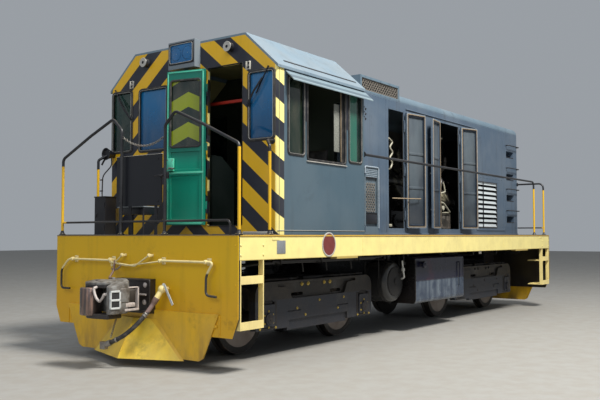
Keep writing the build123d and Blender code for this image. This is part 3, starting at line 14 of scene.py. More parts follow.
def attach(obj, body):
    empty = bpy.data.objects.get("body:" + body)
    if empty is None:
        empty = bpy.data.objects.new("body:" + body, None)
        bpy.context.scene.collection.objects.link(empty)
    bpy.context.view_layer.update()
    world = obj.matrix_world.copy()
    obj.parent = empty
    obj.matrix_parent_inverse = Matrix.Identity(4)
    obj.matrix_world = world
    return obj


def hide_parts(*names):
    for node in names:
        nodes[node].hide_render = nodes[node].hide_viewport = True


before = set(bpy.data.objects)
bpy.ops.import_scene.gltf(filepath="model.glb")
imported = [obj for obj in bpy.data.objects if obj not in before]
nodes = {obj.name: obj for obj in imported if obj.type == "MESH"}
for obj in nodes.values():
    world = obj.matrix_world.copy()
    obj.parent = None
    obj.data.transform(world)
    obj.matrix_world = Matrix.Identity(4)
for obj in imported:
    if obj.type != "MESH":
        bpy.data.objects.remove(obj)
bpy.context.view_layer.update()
random.seed(50)

X, Y, Z = Vector((1, 0, 0)), Vector((0, 1, 0)), Vector((0, 0, 1))
END_FACE = 4.7315


def st(station):
    """Place along the frame of a station, in metres from the front end plate's face."""
    return station - END_FACE


def spot(station, away, height):
    """A place on the side that is being worked on, away from the middle by the given distance."""
    return (st(station), side * away, height)


def upright(xs, y, zs):
    """The four corners of an upright rectangle."""
    return [(xs[0], y, zs[0]), (xs[1], y, zs[0]), (xs[1], y, zs[1]), (xs[0], y, zs[1])]


def strip(foot, sunk, top, proud):
    """Section of a strip: half its width at the foot and how deep that sits, half the top and its height."""
    return [(-foot, -sunk), (foot, -sunk), (top, proud), (-top, proud)]


def upright_line(along, wall, zs):
    """An upright line on a wall, at a place along it."""
    return [(along, wall, zs[0]), (along, wall, zs[1])]


def shown(name, data):
    """Puts new object data into the scene."""
    made = bpy.data.objects.new(name, data)
    bpy.context.scene.collection.objects.link(made)
    return made


# Sizes shared with the solids
CAB_FACE = st(0.74)
CAB_BACK = st(2.56)
CAB_HALF = 1.356
HOOD_HALF = 0.83
DECK = 1.406
SILL_BOTTOM = 1.146
SILL_FACE = 1.44

# Camera at the photograph's point of view
camera = shown("camera", bpy.data.cameras.new("camera"))
camera.data.sensor_width = 36.0
camera.data.lens = 773.11 * 36.0 / 600
camera.location = (-10.6075, -6.467, 1.395)
yaw, pitch, roll = radians(35.975), radians(2.653), radians(-0.04)
looking = Vector((cos(yaw) * cos(pitch), sin(yaw) * cos(pitch), sin(pitch)))
camera.rotation_euler = (
    looking.to_track_quat("-Z", "Y").to_matrix() @ Matrix.Rotation(roll, 3, "Z")).to_euler()
camera.data.clip_end = 200.0
bpy.context.scene.camera = camera
bpy.context.scene.view_settings.view_transform = "Standard"


class Value:
    """One output socket of a finish. Arithmetic on it adds Math nodes."""

    def __init__(self, finish, socket):
        self.finish, self.socket = finish, socket

    def math(self, operation, first, second=0.0):
        return self.finish.node("ShaderNodeMath", {"operation": operation}, {0: first, 1: second})

    def __add__(self, other):
        return self.math("ADD", self, other)

    def __sub__(self, other):
        return self.math("SUBTRACT", self, other)

    def __rsub__(self, other):
        return self.math("SUBTRACT", other, self)

    def __mul__(self, other):
        return self.math("MULTIPLY", self, other)

    def __truediv__(self, other):
        return self.math("DIVIDE", self, other)

    def __mod__(self, other):
        return self.math("FLOORED_MODULO", self, other)

    def __abs__(self):
        return self.math("ABSOLUTE", self)

    def __lt__(self, other):
        return self.math("LESS_THAN", self, other)

    def __gt__(self, other):
        return self.math("GREATER_THAN", self, other)

    __radd__, __rmul__ = __add__, __mul__

    def least(self, other):
        return self.math("MINIMUM", self, other)

    def most(self, other):
        return self.math("MAXIMUM", self, other)

    def between(self, low, high):
        """0 below low, 1 above high, smooth in between; falls when high is under low."""
        rising = high > low
        return self.finish.node(
            "ShaderNodeMapRange", {"interpolation_type": "SMOOTHSTEP"},
            {"Value": self, "From Min": low if rising else high, "From Max": high if rising else low,
             "To Min": 0.0 if rising else 1.0, "To Max": 1.0 if rising else 0.0})


class Finish:
    """A procedural material in the frame's own metres."""

    def __init__(self, name):
        self.material = bpy.data.materials.new(name)
        self.material.use_nodes = True
        self.tree = self.material.node_tree
        self.shader = self.tree.nodes["Principled BSDF"]
        self.place = self.node("ShaderNodeTexCoord", output="Object")
        self.x, self.y, self.z = (
            self.node("ShaderNodeSeparateXYZ", None, {0: self.place}, output=axis) for axis in range(3))

    def node(self, kind, settings=None, inputs=None, output=0):
        made = self.tree.nodes.new(kind)
        for key, setting in (settings or {}).items():
            setattr(made, key, setting)
        for key, value in (inputs or {}).items():
            self.feed(made.inputs[key], value)
        return Value(self, made.outputs[output])

    def feed(self, socket, value):
        if isinstance(value, Value):
            self.tree.links.new(value.socket, socket)
        elif socket.type == "RGBA" and len(value) == 3:
            socket.default_value = (*value, 1.0)
        else:
            socket.default_value = value

    def mix(self, mask, first, second, blend="MIX"):
        return self.node("ShaderNodeMix", {"data_type": "RGBA", "blend_type": blend},
                         {0: mask, 6: first, 7: second}, output=2)

    def stretched(self, stretch):
        if stretch == (1, 1, 1):
            return self.place
        return self.node("ShaderNodeVectorMath", {"operation": "MULTIPLY"}, {0: self.place, 1: stretch})

    def cloud(self, scale, low=0.4, high=0.6, detail=4.0, stretch=(1, 1, 1), rough=0.55):
        """Soft irregular patches: 0 to 1."""
        inputs = {"Vector": self.stretched(stretch), "Scale": scale, "Detail": detail, "Roughness": rough}
        return self.node("ShaderNodeTexNoise", None, inputs).between(low, high)

    def cells(self, scale, low, high, stretch=(1, 1, 1), feature="F1"):
        """Round spots or cell borders: 0 to 1."""
        inputs = {"Vector": self.stretched(stretch), "Scale": scale}
        return self.node("ShaderNodeTexVoronoi", {"feature": feature}, inputs).between(low, high)

    def edges(self, radius):
        """The rounded normal, and 1 along sharp edges with 0 on the flats."""
        rounded = self.node("ShaderNodeBevel", {"samples": 4}, {"Radius": radius})
        flat = self.node("ShaderNodeNewGeometry", output="True Normal")
        facing = self.node(
            "ShaderNodeVectorMath", {"operation": "DOT_PRODUCT"}, {0: rounded, 1: flat}, output="Value")
        return rounded, facing.between(0.985, 0.9)

    def facing(self, axis):
        """How far the surface looks along X, Y or Z, from -1 to 1."""
        flat = self.node("ShaderNodeNewGeometry", output="Normal")
        return self.node("ShaderNodeSeparateXYZ", None, {0: flat}, output="XYZ".index(axis))

    def bump(self, height, depth, normal=None, strength=1.0):
        inputs = {"Height": height, "Distance": depth, "Strength": strength}
        if normal is not None:
            inputs["Normal"] = normal
        return self.node("ShaderNodeBump", None, inputs)

    def coat(self, **values):
        """Feeds the shader; underscores stand for the spaces in its sockets' names."""
        for key, value in values.items():
            self.feed(self.shader.inputs[key.replace("_", " ")], value)
        return self.material


RUST = (0.115, 0.042, 0.014)
DUST = (0.21, 0.17, 0.12)
GRIME = (0.022, 0.019, 0.016)
PRIMER = (0.16, 0.13, 0.11)


def paint(name, colour, gloss=0.42, fade=0.25, dust=0.35, dust_top=1.9, streaks=0.3, chips=0.5, under=RUST,
          radius=0.006, grime=0.25, orange_peel=0.00012, lighten=(0.55, 0.56, 0.55)):
    """Brushed-on paint: faded, dusty low down, run in streaks and chipped at its edges."""
    finish = Finish(name)
    base = colour(finish) if callable(colour) else colour
    rounded, edge = finish.edges(radius)
    faded = finish.cloud(1.3, 0.35, 0.7, 5.0) * fade
    base = finish.mix(faded, base, finish.mix(0.16, base, lighten))
    runs = finish.cloud(9.0, 0.52, 0.72, 4.0, (1, 1, 0.09))
    base = finish.mix(runs * streaks, base, finish.mix(0.45, base, GRIME))
    low = finish.z.between(dust_top, dust_top - 1.0) * finish.cloud(5.0, 0.3, 0.75, 6.0)
    settled = finish.facing("Z").between(0.5, 0.95) * finish.cloud(3.0, 0.25, 0.7, 6.0)
    dusty = (low * dust).most(settled * (dust + 0.15))
    base = finish.mix(dusty, base, DUST)
    dirt = finish.cloud(2.4, 0.55, 0.8, 7.0) * finish.cloud(21.0, 0.35, 0.65, 3.0) * grime
    base = finish.mix(dirt, base, GRIME)
    speck = finish.cloud(46.0, 0.7, 0.74, 3.0) * (0.6 * chips)
    worn = (edge * finish.cloud(17.0, 0.5, 0.62, 6.0) * chips).most(speck)
    bare = finish.mix(finish.cloud(30.0), under, PRIMER)
    base = finish.mix(worn, base, bare)
    roughness = (gloss + dusty * 0.35 + worn * 0.3 + faded * 0.2).least(0.95)
    height = finish.cloud(240.0, 0.3, 0.7, 2.0) * 0.4 - worn * 2.5 + finish.cloud(4.0, 0.3, 0.7, 2.0) * 6.0
    return finish.coat(
        Base_Color=base, Roughness=roughness, Normal=finish.bump(height, orange_peel, rounded))


YELLOW = (0.72, 0.42, 0.006)
# Paler copy of the yellow, painted as sunlight on the sill's face
SUNLIT_SILL_YELLOW = (0.86, 0.74, 0.28)
# Paler copy of the yellow, painted as sunlight on the cab's sides
SUNLIT_SIDE_YELLOW = (0.88, 0.76, 0.27)
NAVY = (0.013, 0.015, 0.026)
SLATE = (0.058, 0.098, 0.13)
HOOD_BLUE = (0.064, 0.1, 0.15)
BLACK = (0.006, 0.007, 0.011)
GREEN = (0.005, 0.27, 0.18)
LAMP_GREY = (0.16, 0.19, 0.22)
LINER = (0.045, 0.06, 0.042)

# Chevrons on the cab front: their points on the centre line, falling towards both sides
CHEVRON_PITCH = 0.419
CHEVRON_START = 2.555
CHEVRON_SLOPE = 0.83
STRIPED_LENGTH = 0.13


def chevrons(finish):
    """Yellow and navy bands over the cab front and the first of its sides, whose yellow is a paler copy
    painted as sunlight.
    """
    across = abs(finish.y).least(CAB_HALF) + (finish.x - CAB_FACE).most(0.0) * 0.5
    phase = (finish.z + across * CHEVRON_SLOPE - CHEVRON_START) % CHEVRON_PITCH
    band = phase.between(-0.004, 0.002) * phase.between(CHEVRON_PITCH / 2 + 0.003, CHEVRON_PITCH / 2 - 0.003)
    sunlit = finish.x > CAB_FACE + 0.003
    return finish.mix(band, NAVY, finish.mix(sunlit, YELLOW, SUNLIT_SIDE_YELLOW))


def cab_front_colour(finish):
    outside = finish.x < CAB_FACE + 0.036
    return finish.mix(outside, LINER, chevrons(finish))


def cab_side_colour(finish):
    inside = abs(finish.y) < CAB_HALF - 0.03
    striped = finish.x < CAB_FACE + STRIPED_LENGTH
    outer = finish.mix(striped, SLATE, chevrons(finish))
    # Navy on the upper part of the posts between the side windows is the awnings' painted shadow
    posts = (abs(finish.x - st(1.281)) < 0.019) + (abs(finish.x - st(2.157)) < 0.03)
    outer = finish.mix(posts.least(1.0) * (finish.z > 2.7) * (finish.z < 3.19), outer, NAVY)
    return finish.mix(inside, outer, LINER)


def hood_colour(finish):
    inside = (abs(finish.y) < HOOD_HALF - 0.01) * (finish.x < st(8.75)) * (finish.z < 3.4)
    shoulder = finish.mix(finish.z.between(3.4, 3.46), HOOD_BLUE, (0.11, 0.165, 0.215))
    return finish.mix(inside, shoulder, (0.06, 0.058, 0.052))


def door_colour(finish):
    """Green, brighter at and below the middle rail and darker from a little above it upwards."""
    return finish.mix(finish.z.between(2.2, 2.45), GREEN, (0.004, 0.15, 0.108))


def pane_colour(finish):
    """Sky blue painted as a reflection on the near and middle front panes, dark green-teal on the far front
    pane and the rear panes, both darker lower down; dark green on the side panes, with a brighter teal
    reflection painted on the back part of each rear quarter pane.
    """
    front = (finish.x < CAB_FACE + 0.05) * (finish.y < 0.9)
    deeper = finish.z.between(3.15, 2.5)
    blue = finish.mix(deeper, (0.016, 0.19, 0.45), (0.01, 0.1, 0.25))
    far = finish.mix(deeper, (0.012, 0.05, 0.042), (0.004, 0.022, 0.02))
    quarter = (finish.x > st(2.1)) * (abs(finish.y) > 1.3)
    corner = finish.mix(finish.x > st(2.415), (0.026, 0.15, 0.108), (0.01, 0.03, 0.028))
    side = finish.mix(quarter, (0.008, 0.022, 0.014), corner)
    other = finish.mix(abs(finish.y) > 1.3, far, side)
    return finish.mix(front, other, blue)


def chevron_ghost(finish):
    """The wall's bands seen through the clear pane of the open door, yellowed by it."""
    phase = (finish.z + abs(finish.y + 0.115) * 0.46 - CHEVRON_START) % 0.355
    return finish.mix(phase > 0.175, (0.25, 0.31, 0.01), (0.008, 0.022, 0.02))


def glass(name, tint, strength):
    """Window pane: dark and partly see-through face on, mirror-like at a slant, with patches of dust film."""
    finish = Finish(name)
    tint = tint(finish) if callable(tint) else tint
    slant = finish.node("ShaderNodeFresnel", None, {"IOR": 1.45})
    film = finish.cloud(6.0, 0.35, 0.8, 5.0, (1, 1, 0.4)) * 0.1
    wiped = finish.cloud(60.0, 0.62, 0.72, 2.0) * 0.12
    body = (slant * 1.6 + strength + film + wiped).least(1.0)
    colour = finish.mix(film * 2.0, tint, DUST)
    rough = film * 1.2 + 0.03
    return finish.coat(Base_Color=colour, Roughness=rough, Alpha=body, IOR=1.5, Specular_IOR_Level=0.9)


def cast_iron(name, colour, dust=0.4, dust_top=0.9, radius=0.01, rusty=0.4, sheen=0.62, worn=0.35):
    """Sand-cast steel or iron with its skin, road dust and oil."""
    finish = Finish(name)
    base = colour(finish) if callable(colour) else colour
    rounded, edge = finish.edges(radius)
    base = finish.mix(finish.cloud(3.0, 0.4, 0.7, 6.0) * rusty, base, (0.085, 0.05, 0.03))
    low = finish.z.between(dust_top, 0.1) * finish.cloud(7.0, 0.25, 0.75, 6.0)
    settled = finish.facing("Z").between(0.3, 0.9) * 0.8
    dusty = low.most(settled) * dust
    base = finish.mix(dusty, base, (0.12, 0.098, 0.075))
    oily = finish.cloud(2.1, 0.56, 0.66, 5.0, (1, 1, 0.5))
    base = finish.mix(oily * 0.5, base, GRIME)
    base = finish.mix(edge * finish.cloud(12.0) * worn, base, (0.3, 0.26, 0.22))
    roughness = (sheen + dusty * 0.3 - oily * 0.22).most(0.2)
    skin = finish.cloud(130.0, 0.2, 0.8, 5.0, rough=0.7) + finish.cloud(22.0, 0.3, 0.7, 3.0) * 1.6
    return finish.coat(Base_Color=base, Roughness=roughness, Normal=finish.bump(skin, 0.0009, rounded))


def bare_steel(name, colour=(0.42, 0.4, 0.37), shine=0.32, dirt=0.4):
    finish = Finish(name)
    mottled = finish.cloud(30.0, 0.4, 0.65, 5.0)
    stain = finish.cloud(7.0, 0.45, 0.7, 5.0) * dirt
    base = finish.mix(mottled * 0.3, colour, (0.22, 0.19, 0.16))
    base = finish.mix(stain, base, (0.11, 0.06, 0.035))
    return finish.coat(
        Base_Color=base, Metallic=1.0 - stain, Roughness=shine + stain * 0.4 + mottled * 0.1,
        Normal=finish.bump(finish.cloud(180.0, detail=3.0), 0.00015))


def rubber(name, colour=(0.017, 0.017, 0.018), dust=0.25):
    finish = Finish(name)
    colour = colour(finish) if callable(colour) else colour
    worn = finish.cloud(14.0, 0.45, 0.75, 6.0) * dust
    base = finish.mix(worn, colour, (0.24, 0.21, 0.18))
    grain = finish.cloud(300.0, 0.3, 0.7, 2.0)
    return finish.coat(Base_Color=base, Roughness=0.55 + worn * 0.3, Normal=finish.bump(grain, 0.00012))


def plain(name, colour, roughness=0.5, metallic=0.0, variation=0.25, scale=9.0, grain=0.0002):
    finish = Finish(name)
    patch = finish.cloud(scale, 0.35, 0.7, 6.0)
    darker = tuple(channel * 0.55 for channel in colour)
    base = finish.mix(patch * variation, colour, darker)
    dust = finish.facing("Z").between(0.6, 0.98) * finish.cloud(5.0, 0.3, 0.7) * 0.35
    base = finish.mix(dust * 0.6, base, DUST)
    return finish.coat(
        Base_Color=base, Metallic=metallic, Roughness=roughness + patch * 0.15 + dust * 0.3,
        Normal=finish.bump(finish.cloud(160.0, detail=3.0), grain))


# Pale yellow painted as sunlight over the sill's face, with an ochre strip along its top and a darker band at
# its bottom edge
def sill_colour(finish):
    seam = finish.z.between(DECK - 0.022, DECK - 0.018)
    lower = finish.mix(finish.z.between(SILL_BOTTOM + 0.012, SILL_BOTTOM), SUNLIT_SILL_YELLOW, (0.45, 0.33, 0.08))
    return finish.mix(seam, lower, (0.52, 0.31, 0.03))


def end_plate_colour(finish):
    """Ochre outside with a dark top edge, black on the faces that look into the underframe."""
    hidden = abs(finish.x) < END_FACE - 0.011
    ochre = finish.mix(finish.z.between(0.62, 1.1), (0.66, 0.36, 0.004), (0.66, 0.4, 0.004))
    ochre = finish.mix(finish.z > DECK - 0.009, ochre, (0.05, 0.045, 0.04))
    return finish.mix(hidden, ochre, (0.008, 0.008, 0.008))


def louvre_colour(finish):
    """Sunlit pale slats in a black frame."""
    inside = (finish.x > st(7.404)) * (finish.x < st(8.276)) * (finish.z > 1.56) * (finish.z < 2.375)
    return finish.mix(inside, (0.01, 0.011, 0.014), (0.5, 0.55, 0.58))


def leaf_colour(finish):
    """Inner sheet of a hood door: greyer and lighter towards its foot."""
    blotch = finish.cloud(2.0, 0.4, 0.6, 4.0, (1, 1, 0.5)) * 0.8
    return finish.mix(blotch, (0.062, 0.082, 0.1), (0.022, 0.03, 0.045))


def awning_colour(finish):
    """Painted light and shade: a darker shaded fold between a pale sunlit root and a bright sunlit lower lip.
    """
    out = abs(finish.y)
    root = finish.mix(out.between(1.405, 1.415), (0.15, 0.22, 0.265), (0.062, 0.105, 0.14))
    return finish.mix(out.between(1.452, 1.456), root, (0.19, 0.26, 0.3))


def plow_colour(finish):
    """Yellow painted brighter on the plow's flanks as sunlight, with the darker plate behind carrying road
    dirt low down.
    """
    nose = (finish.x < -END_FACE - 0.03) * (finish.z < 0.53)
    bright = finish.mix(finish.cloud(3.0, 0.4, 0.6), (0.82, 0.58, 0.05), (0.76, 0.5, 0.03))
    muddy = finish.z.between(0.62, 0.15) * finish.cloud(6.0, 0.35, 0.7, 6.0, (1, 1, 0.35))
    plate = finish.mix(muddy * 0.7, YELLOW, (0.2, 0.105, 0.03))
    return finish.mix(nose, plate, bright)


def tank_colour(finish):
    """Dark blue-violet upper half, lighter grey lower half with paler streaks."""
    runs = finish.cloud(11.0, 0.3, 0.7, 5.0, (1, 1, 0.12))
    smudge = finish.cloud(5.0, 0.5, 0.7, 6.0) * finish.x.between(st(4.9), st(4.4))
    upper = finish.mix(smudge, (0.006, 0.007, 0.022), (0.045, 0.008, 0.022))
    lower = finish.mix(runs * finish.cloud(5.0, 0.3, 0.6, 6.0), (0.022, 0.036, 0.066), (0.12, 0.15, 0.185))
    side = finish.mix(finish.z.between(0.745, 0.735), upper, lower)
    return finish.mix(finish.x < st(4.15), side, (0.006, 0.005, 0.005))


def sideframe_colour(finish):
    """The proud lower beam is blue-grey, the recessed web above it brown with dust."""
    beam = finish.z.between(0.665, 0.64)
    web = finish.mix(finish.cloud(6.0), (0.026, 0.021, 0.016), (0.012, 0.011, 0.01))
    return finish.mix(beam, web, (0.02, 0.024, 0.035))


def wheel_colour(finish):
    """Soot-dark plate with brown patches."""
    return finish.mix(finish.cloud(8.0), (0.0035, 0.003, 0.0028), (0.008, 0.0055, 0.004))


def rail_colour(finish):
    """Black handrails whose upright posts are yellow low down."""
    post = (finish.z < 2.295) * (abs(finish.y) > 1.325) * (finish.z > 1.46)
    shorter = post * (1.0 - (finish.z > 2.24) * (finish.y > 0))
    return finish.mix(shorter, BLACK, YELLOW)


def engine_colour(finish):
    """Cream engine enamel turned brown with oil and heat; dark works lower down."""
    oil = finish.cloud(4.0, 0.36, 0.52, 6.0)
    enamel = finish.mix(oil, (0.36, 0.33, 0.22), (0.012, 0.01, 0.009))
    return finish.mix(finish.z.between(2.15, 1.95), enamel, (0.01, 0.009, 0.008))


def coupler_colour(finish):
    """Pale worn casting, dark where its back reaches into the draft box."""
    body = finish.mix(finish.cloud(14.0, 0.35, 0.7, 6.0), (0.2, 0.2, 0.195), (0.07, 0.062, 0.054))
    return finish.mix(abs(finish.x) < END_FACE + 0.24, body, (0.05, 0.045, 0.04))


def knuckle_colour(finish):
    """Pinkish-brown rubbed face with upright smears; the faces behind it are painted dark as shade."""
    smears = finish.cloud(30.0, 0.38, 0.62, 4.0, (1, 1, 0.08))
    rubbed = finish.mix(smears, (0.34, 0.21, 0.16), (0.11, 0.085, 0.085))
    return finish.mix(
        abs(finish.x).between(END_FACE + 0.545, END_FACE + 0.575), (0.03, 0.022, 0.019), rubbed)


def lever_colour(finish):
    """Pale yellow lengths with black handles below the corner."""
    return finish.mix(finish.z.between(1.02, 1.0), (0.74, 0.62, 0.3), (0.012, 0.011, 0.011))


def hose_colour(finish):
    """Black low down, dusty pink-brown above."""
    return finish.mix(finish.z.between(0.585, 0.605), (0.016, 0.016, 0.017), (0.21, 0.14, 0.125))


def lamp_colour(finish):
    """Grey headlight in the middle, black lamps beside it."""
    return finish.mix(abs(finish.y) > 0.45, LAMP_GREY, BLACK)


def cabinet_colour(finish):
    """Black cabinet ahead of the cab, blue-grey ones behind it."""
    return finish.mix(finish.x < -2.0, (0.09, 0.128, 0.16), BLACK)


end_yellow = paint(
    "end_plate_yellow", end_plate_colour, gloss=0.36, dust=0.1, dust_top=1.1, streaks=0.22, chips=0.7,
    grime=0.5, lighten=(0.62, 0.4, 0.02))
plow_yellow = paint(
    "plow_yellow", plow_colour, gloss=0.4, dust=0.3, dust_top=0.9, streaks=0.35, chips=0.8, grime=0.6)
sill_yellow = paint(
    "sill_yellow", sill_colour, gloss=0.4, dust=0.22, dust_top=2.0, streaks=0.16, chips=0.45, grime=0.18)
step_yellow = paint("step_yellow", (0.86, 0.7, 0.28), gloss=0.45, dust=0.25, chips=0.9, grime=0.3)
front_bands = paint("cab_front_bands", cab_front_colour, gloss=0.3, dust=0.15, streaks=0.25, chips=0.45)
cab_slate = paint("cab_slate", cab_side_colour, gloss=0.34, dust=0.12, streaks=0.25, chips=0.15)
hood_blue = paint("hood_blue_grey", hood_colour, fade=0.5, dust=0.0, streaks=0.55, chips=0.3, grime=0.45)
roof_grey = paint("roof_grey", (0.14, 0.205, 0.262), gloss=0.62, fade=0.5, dust=0.16, chips=0.3)
awning_blue = paint("awning_blue", awning_colour, fade=0.3, dust=0.06, streaks=0.5, chips=0.3)
louvre_paint = paint("louvre_paint", louvre_colour, gloss=0.3, fade=0.2, dust=0.1, chips=0.4)
reservoir_black = paint(
    "reservoir_black", (0.008, 0.008, 0.009), gloss=0.22, fade=0.2, dust=0.1, dust_top=0.8, chips=0.4)
door_green = paint(
    "door_green", door_colour, gloss=0.3, fade=0.2, dust=0.06, dust_top=2.3, chips=0.6, grime=0.3,
    lighten=(0.1, 0.45, 0.33))
black_enamel = paint(
    "black_enamel", BLACK, gloss=0.34, fade=0.1, dust=0.05, chips=0.3, under=(0.2, 0.12, 0.08),
    lighten=(0.1, 0.1, 0.12))
rail_paint = paint("handrail_paint", rail_colour, gloss=0.34, fade=0.2, dust=0.2, chips=0.8, radius=0.002)
deck_black = paint(
    "underframe_black", (0.007, 0.007, 0.008), gloss=0.66, fade=0.3, dust=0.1, dust_top=1.2, chips=0.2,
    lighten=(0.04, 0.04, 0.05))
tank_coat = paint(
    "tank_coat", tank_colour, gloss=0.26, fade=0.1, dust=0.05, dust_top=0.8, streaks=0.35, chips=0.3,
    lighten=(0.06, 0.06, 0.1))
lamp_grey = paint("lamp_grey", LAMP_GREY, gloss=0.4, fade=0.4)
headlight_grey = paint("headlight_grey", lamp_colour, gloss=0.4, fade=0.2, chips=0.4)
engine_enamel = paint("engine_enamel", engine_colour, gloss=0.38, fade=0.2, dust=0.15, grime=0.6)
# Control desk darkened as painted shade inside the cab
shaded_desk_green = paint("shaded_desk_green", (0.016, 0.034, 0.026), gloss=0.5, fade=0.3)
side_iron = cast_iron("truck_side_iron", sideframe_colour, dust=0.14, rusty=0.08, worn=0.12)
truck_iron = cast_iron("truck_iron", (0.013, 0.012, 0.013), dust=0.12, rusty=0.1, worn=0.1)
wheel_iron = cast_iron("wheel_iron", wheel_colour, dust=0.05, rusty=0.04, radius=0.006, worn=0.06)
coupler_iron = cast_iron("coupler_iron", coupler_colour, dust=0.15, rusty=0.18, radius=0.012, sheen=0.48)
knuckle_iron = cast_iron("knuckle_iron", knuckle_colour, dust=0.1, rusty=0.15, radius=0.012, sheen=0.34)
lever_coat = paint("lever_paint", lever_colour, gloss=0.4, dust=0.1, chips=0.7, radius=0.002)
draft_iron = cast_iron("draft_iron", (0.022, 0.021, 0.023), dust=0.12, rusty=0.15, sheen=0.42)
tread_steel = bare_steel("tread_steel", (0.16, 0.14, 0.13), 0.34, 0.25)
dull_steel = bare_steel("dull_steel", (0.36, 0.34, 0.31), 0.42, 0.55)
black_rubber = rubber("black_rubber")
hose_rubber = rubber("hose_rubber", hose_colour, 0.35)
gasket_tan = plain("gasket_tan", (0.34, 0.26, 0.17), 0.8, 0.0, 0.6, 24.0)
screen_tan = plain("screen_tan", (0.23, 0.205, 0.175), 0.55, 0.2, 0.6, 30.0)
# Dark colour for the radiator core and for sheets that stand in for shade
dark_core_and_shadow = plain("dark_core_and_shadow", (0.02, 0.02, 0.021), 0.7, 0.0, 0.4)
# Ceiling lining made lighter as painted light, since it stands in shade
brightened_lining = plain("cab_lining_painted_light", (0.5, 0.48, 0.2), 0.75, 0.0, 0.35, 3.0)
pale_bead = plain("pale_bead", (0.46, 0.45, 0.42), 0.55, 0.2, 0.4)
worn_bright = plain("worn_bright", (0.6, 0.62, 0.62), 0.5, 0.1, 0.5, 22.0)
bolt_brown = plain("rusty_pink", (0.2, 0.125, 0.1), 0.55, 0.1, 0.6, 30.0)
plate_grey = plain("plate_grey", (0.33, 0.35, 0.37), 0.45, 0.6, 0.3, 40.0)
disc_red = plain("disc_red", (0.16, 0.028, 0.026), 0.5, 0.0, 0.35, 14.0)
floor_grey = plain("deck_tread", (0.115, 0.11, 0.105), 0.8, 0.1, 0.6, 18.0)
leaf_grey = paint(
    "leaf_grey", leaf_colour, gloss=0.5, fade=0.3, dust=0.1, dust_top=2.2, streaks=0.6, chips=0.2)
rim_blue = plain("rim_blue", (0.3, 0.36, 0.42), 0.5, 0.0, 0.4, 30.0)
cabinet_paint = paint("cabinet_paint", cabinet_colour, gloss=0.45, dust=0.08, dust_top=1.8, chips=0.3)
window_blue = glass("window_blue", pane_colour, 0.62)
door_pane = glass("door_pane", chevron_ghost, 0.86)

ENDS = ("front", "rear")
NODE_FINISHES = {
    end_yellow: ("end_plate_front", "end_plate_rear"),
    plow_yellow: ("pilot_front", "pilot_rear"),
    sill_yellow: ("side_sills",),
    step_yellow: ("corner_steps", "angle_cocks"),
    front_bands: ("cab_front",),
    cab_slate: ("cab_side_near", "cab_side_far", "cab_rear"),
    hood_blue: ["hood_side_near", "hood_side_far", "hood_end", "hood_roof", "intake_box", "roof_steps"]
    + [f"hood_door_{name}_{key}" for name in ("near", "far") for key in "abc"],
    roof_grey: ("cab_roof",),
    awning_blue: ("window_awnings",),
    louvre_paint: ("louvre_panels",),
    deck_black: ("underframe",),
    reservoir_black: ("air_reservoirs",),
    side_iron: [f"truck_{end}_sideframes" for end in ENDS],
    truck_iron: [f"truck_{end}_{part}" for end in ENDS for part in ("bolster", "motors", "brakes")],
    wheel_iron: [f"wheelset_{end}_{number}" for end in ENDS for number in (1, 2)],
    rail_paint: ("side_rails", "end_rails"),
    black_enamel: ("equipment_shield", "grab_irons"),
    cabinet_paint: ("deck_cabinets",),
    draft_iron: ("draft_boxes",),
    tank_coat: ("fuel_tank",),
    door_green: ("cab_door",),
    shaded_desk_green: ("control_stand",),
    engine_enamel: ("engine_set",),
    dark_core_and_shadow: ("radiator",),
    window_blue: ("cab_glass",),
    door_pane: ("cab_door_glass",),
    headlight_grey: ("headlights",),
    black_rubber: ("cab_seats",),
    dull_steel: ("hose_coupling",),
}
for material, names in NODE_FINISHES.items():
    for name in names:
        for place in nodes[name].material_slots:
            place.material = material


def rotation_to(axis):
    """Turns +Z to the given direction."""
    return Vector(axis).to_track_quat("Z", "Y").to_matrix().to_4x4()


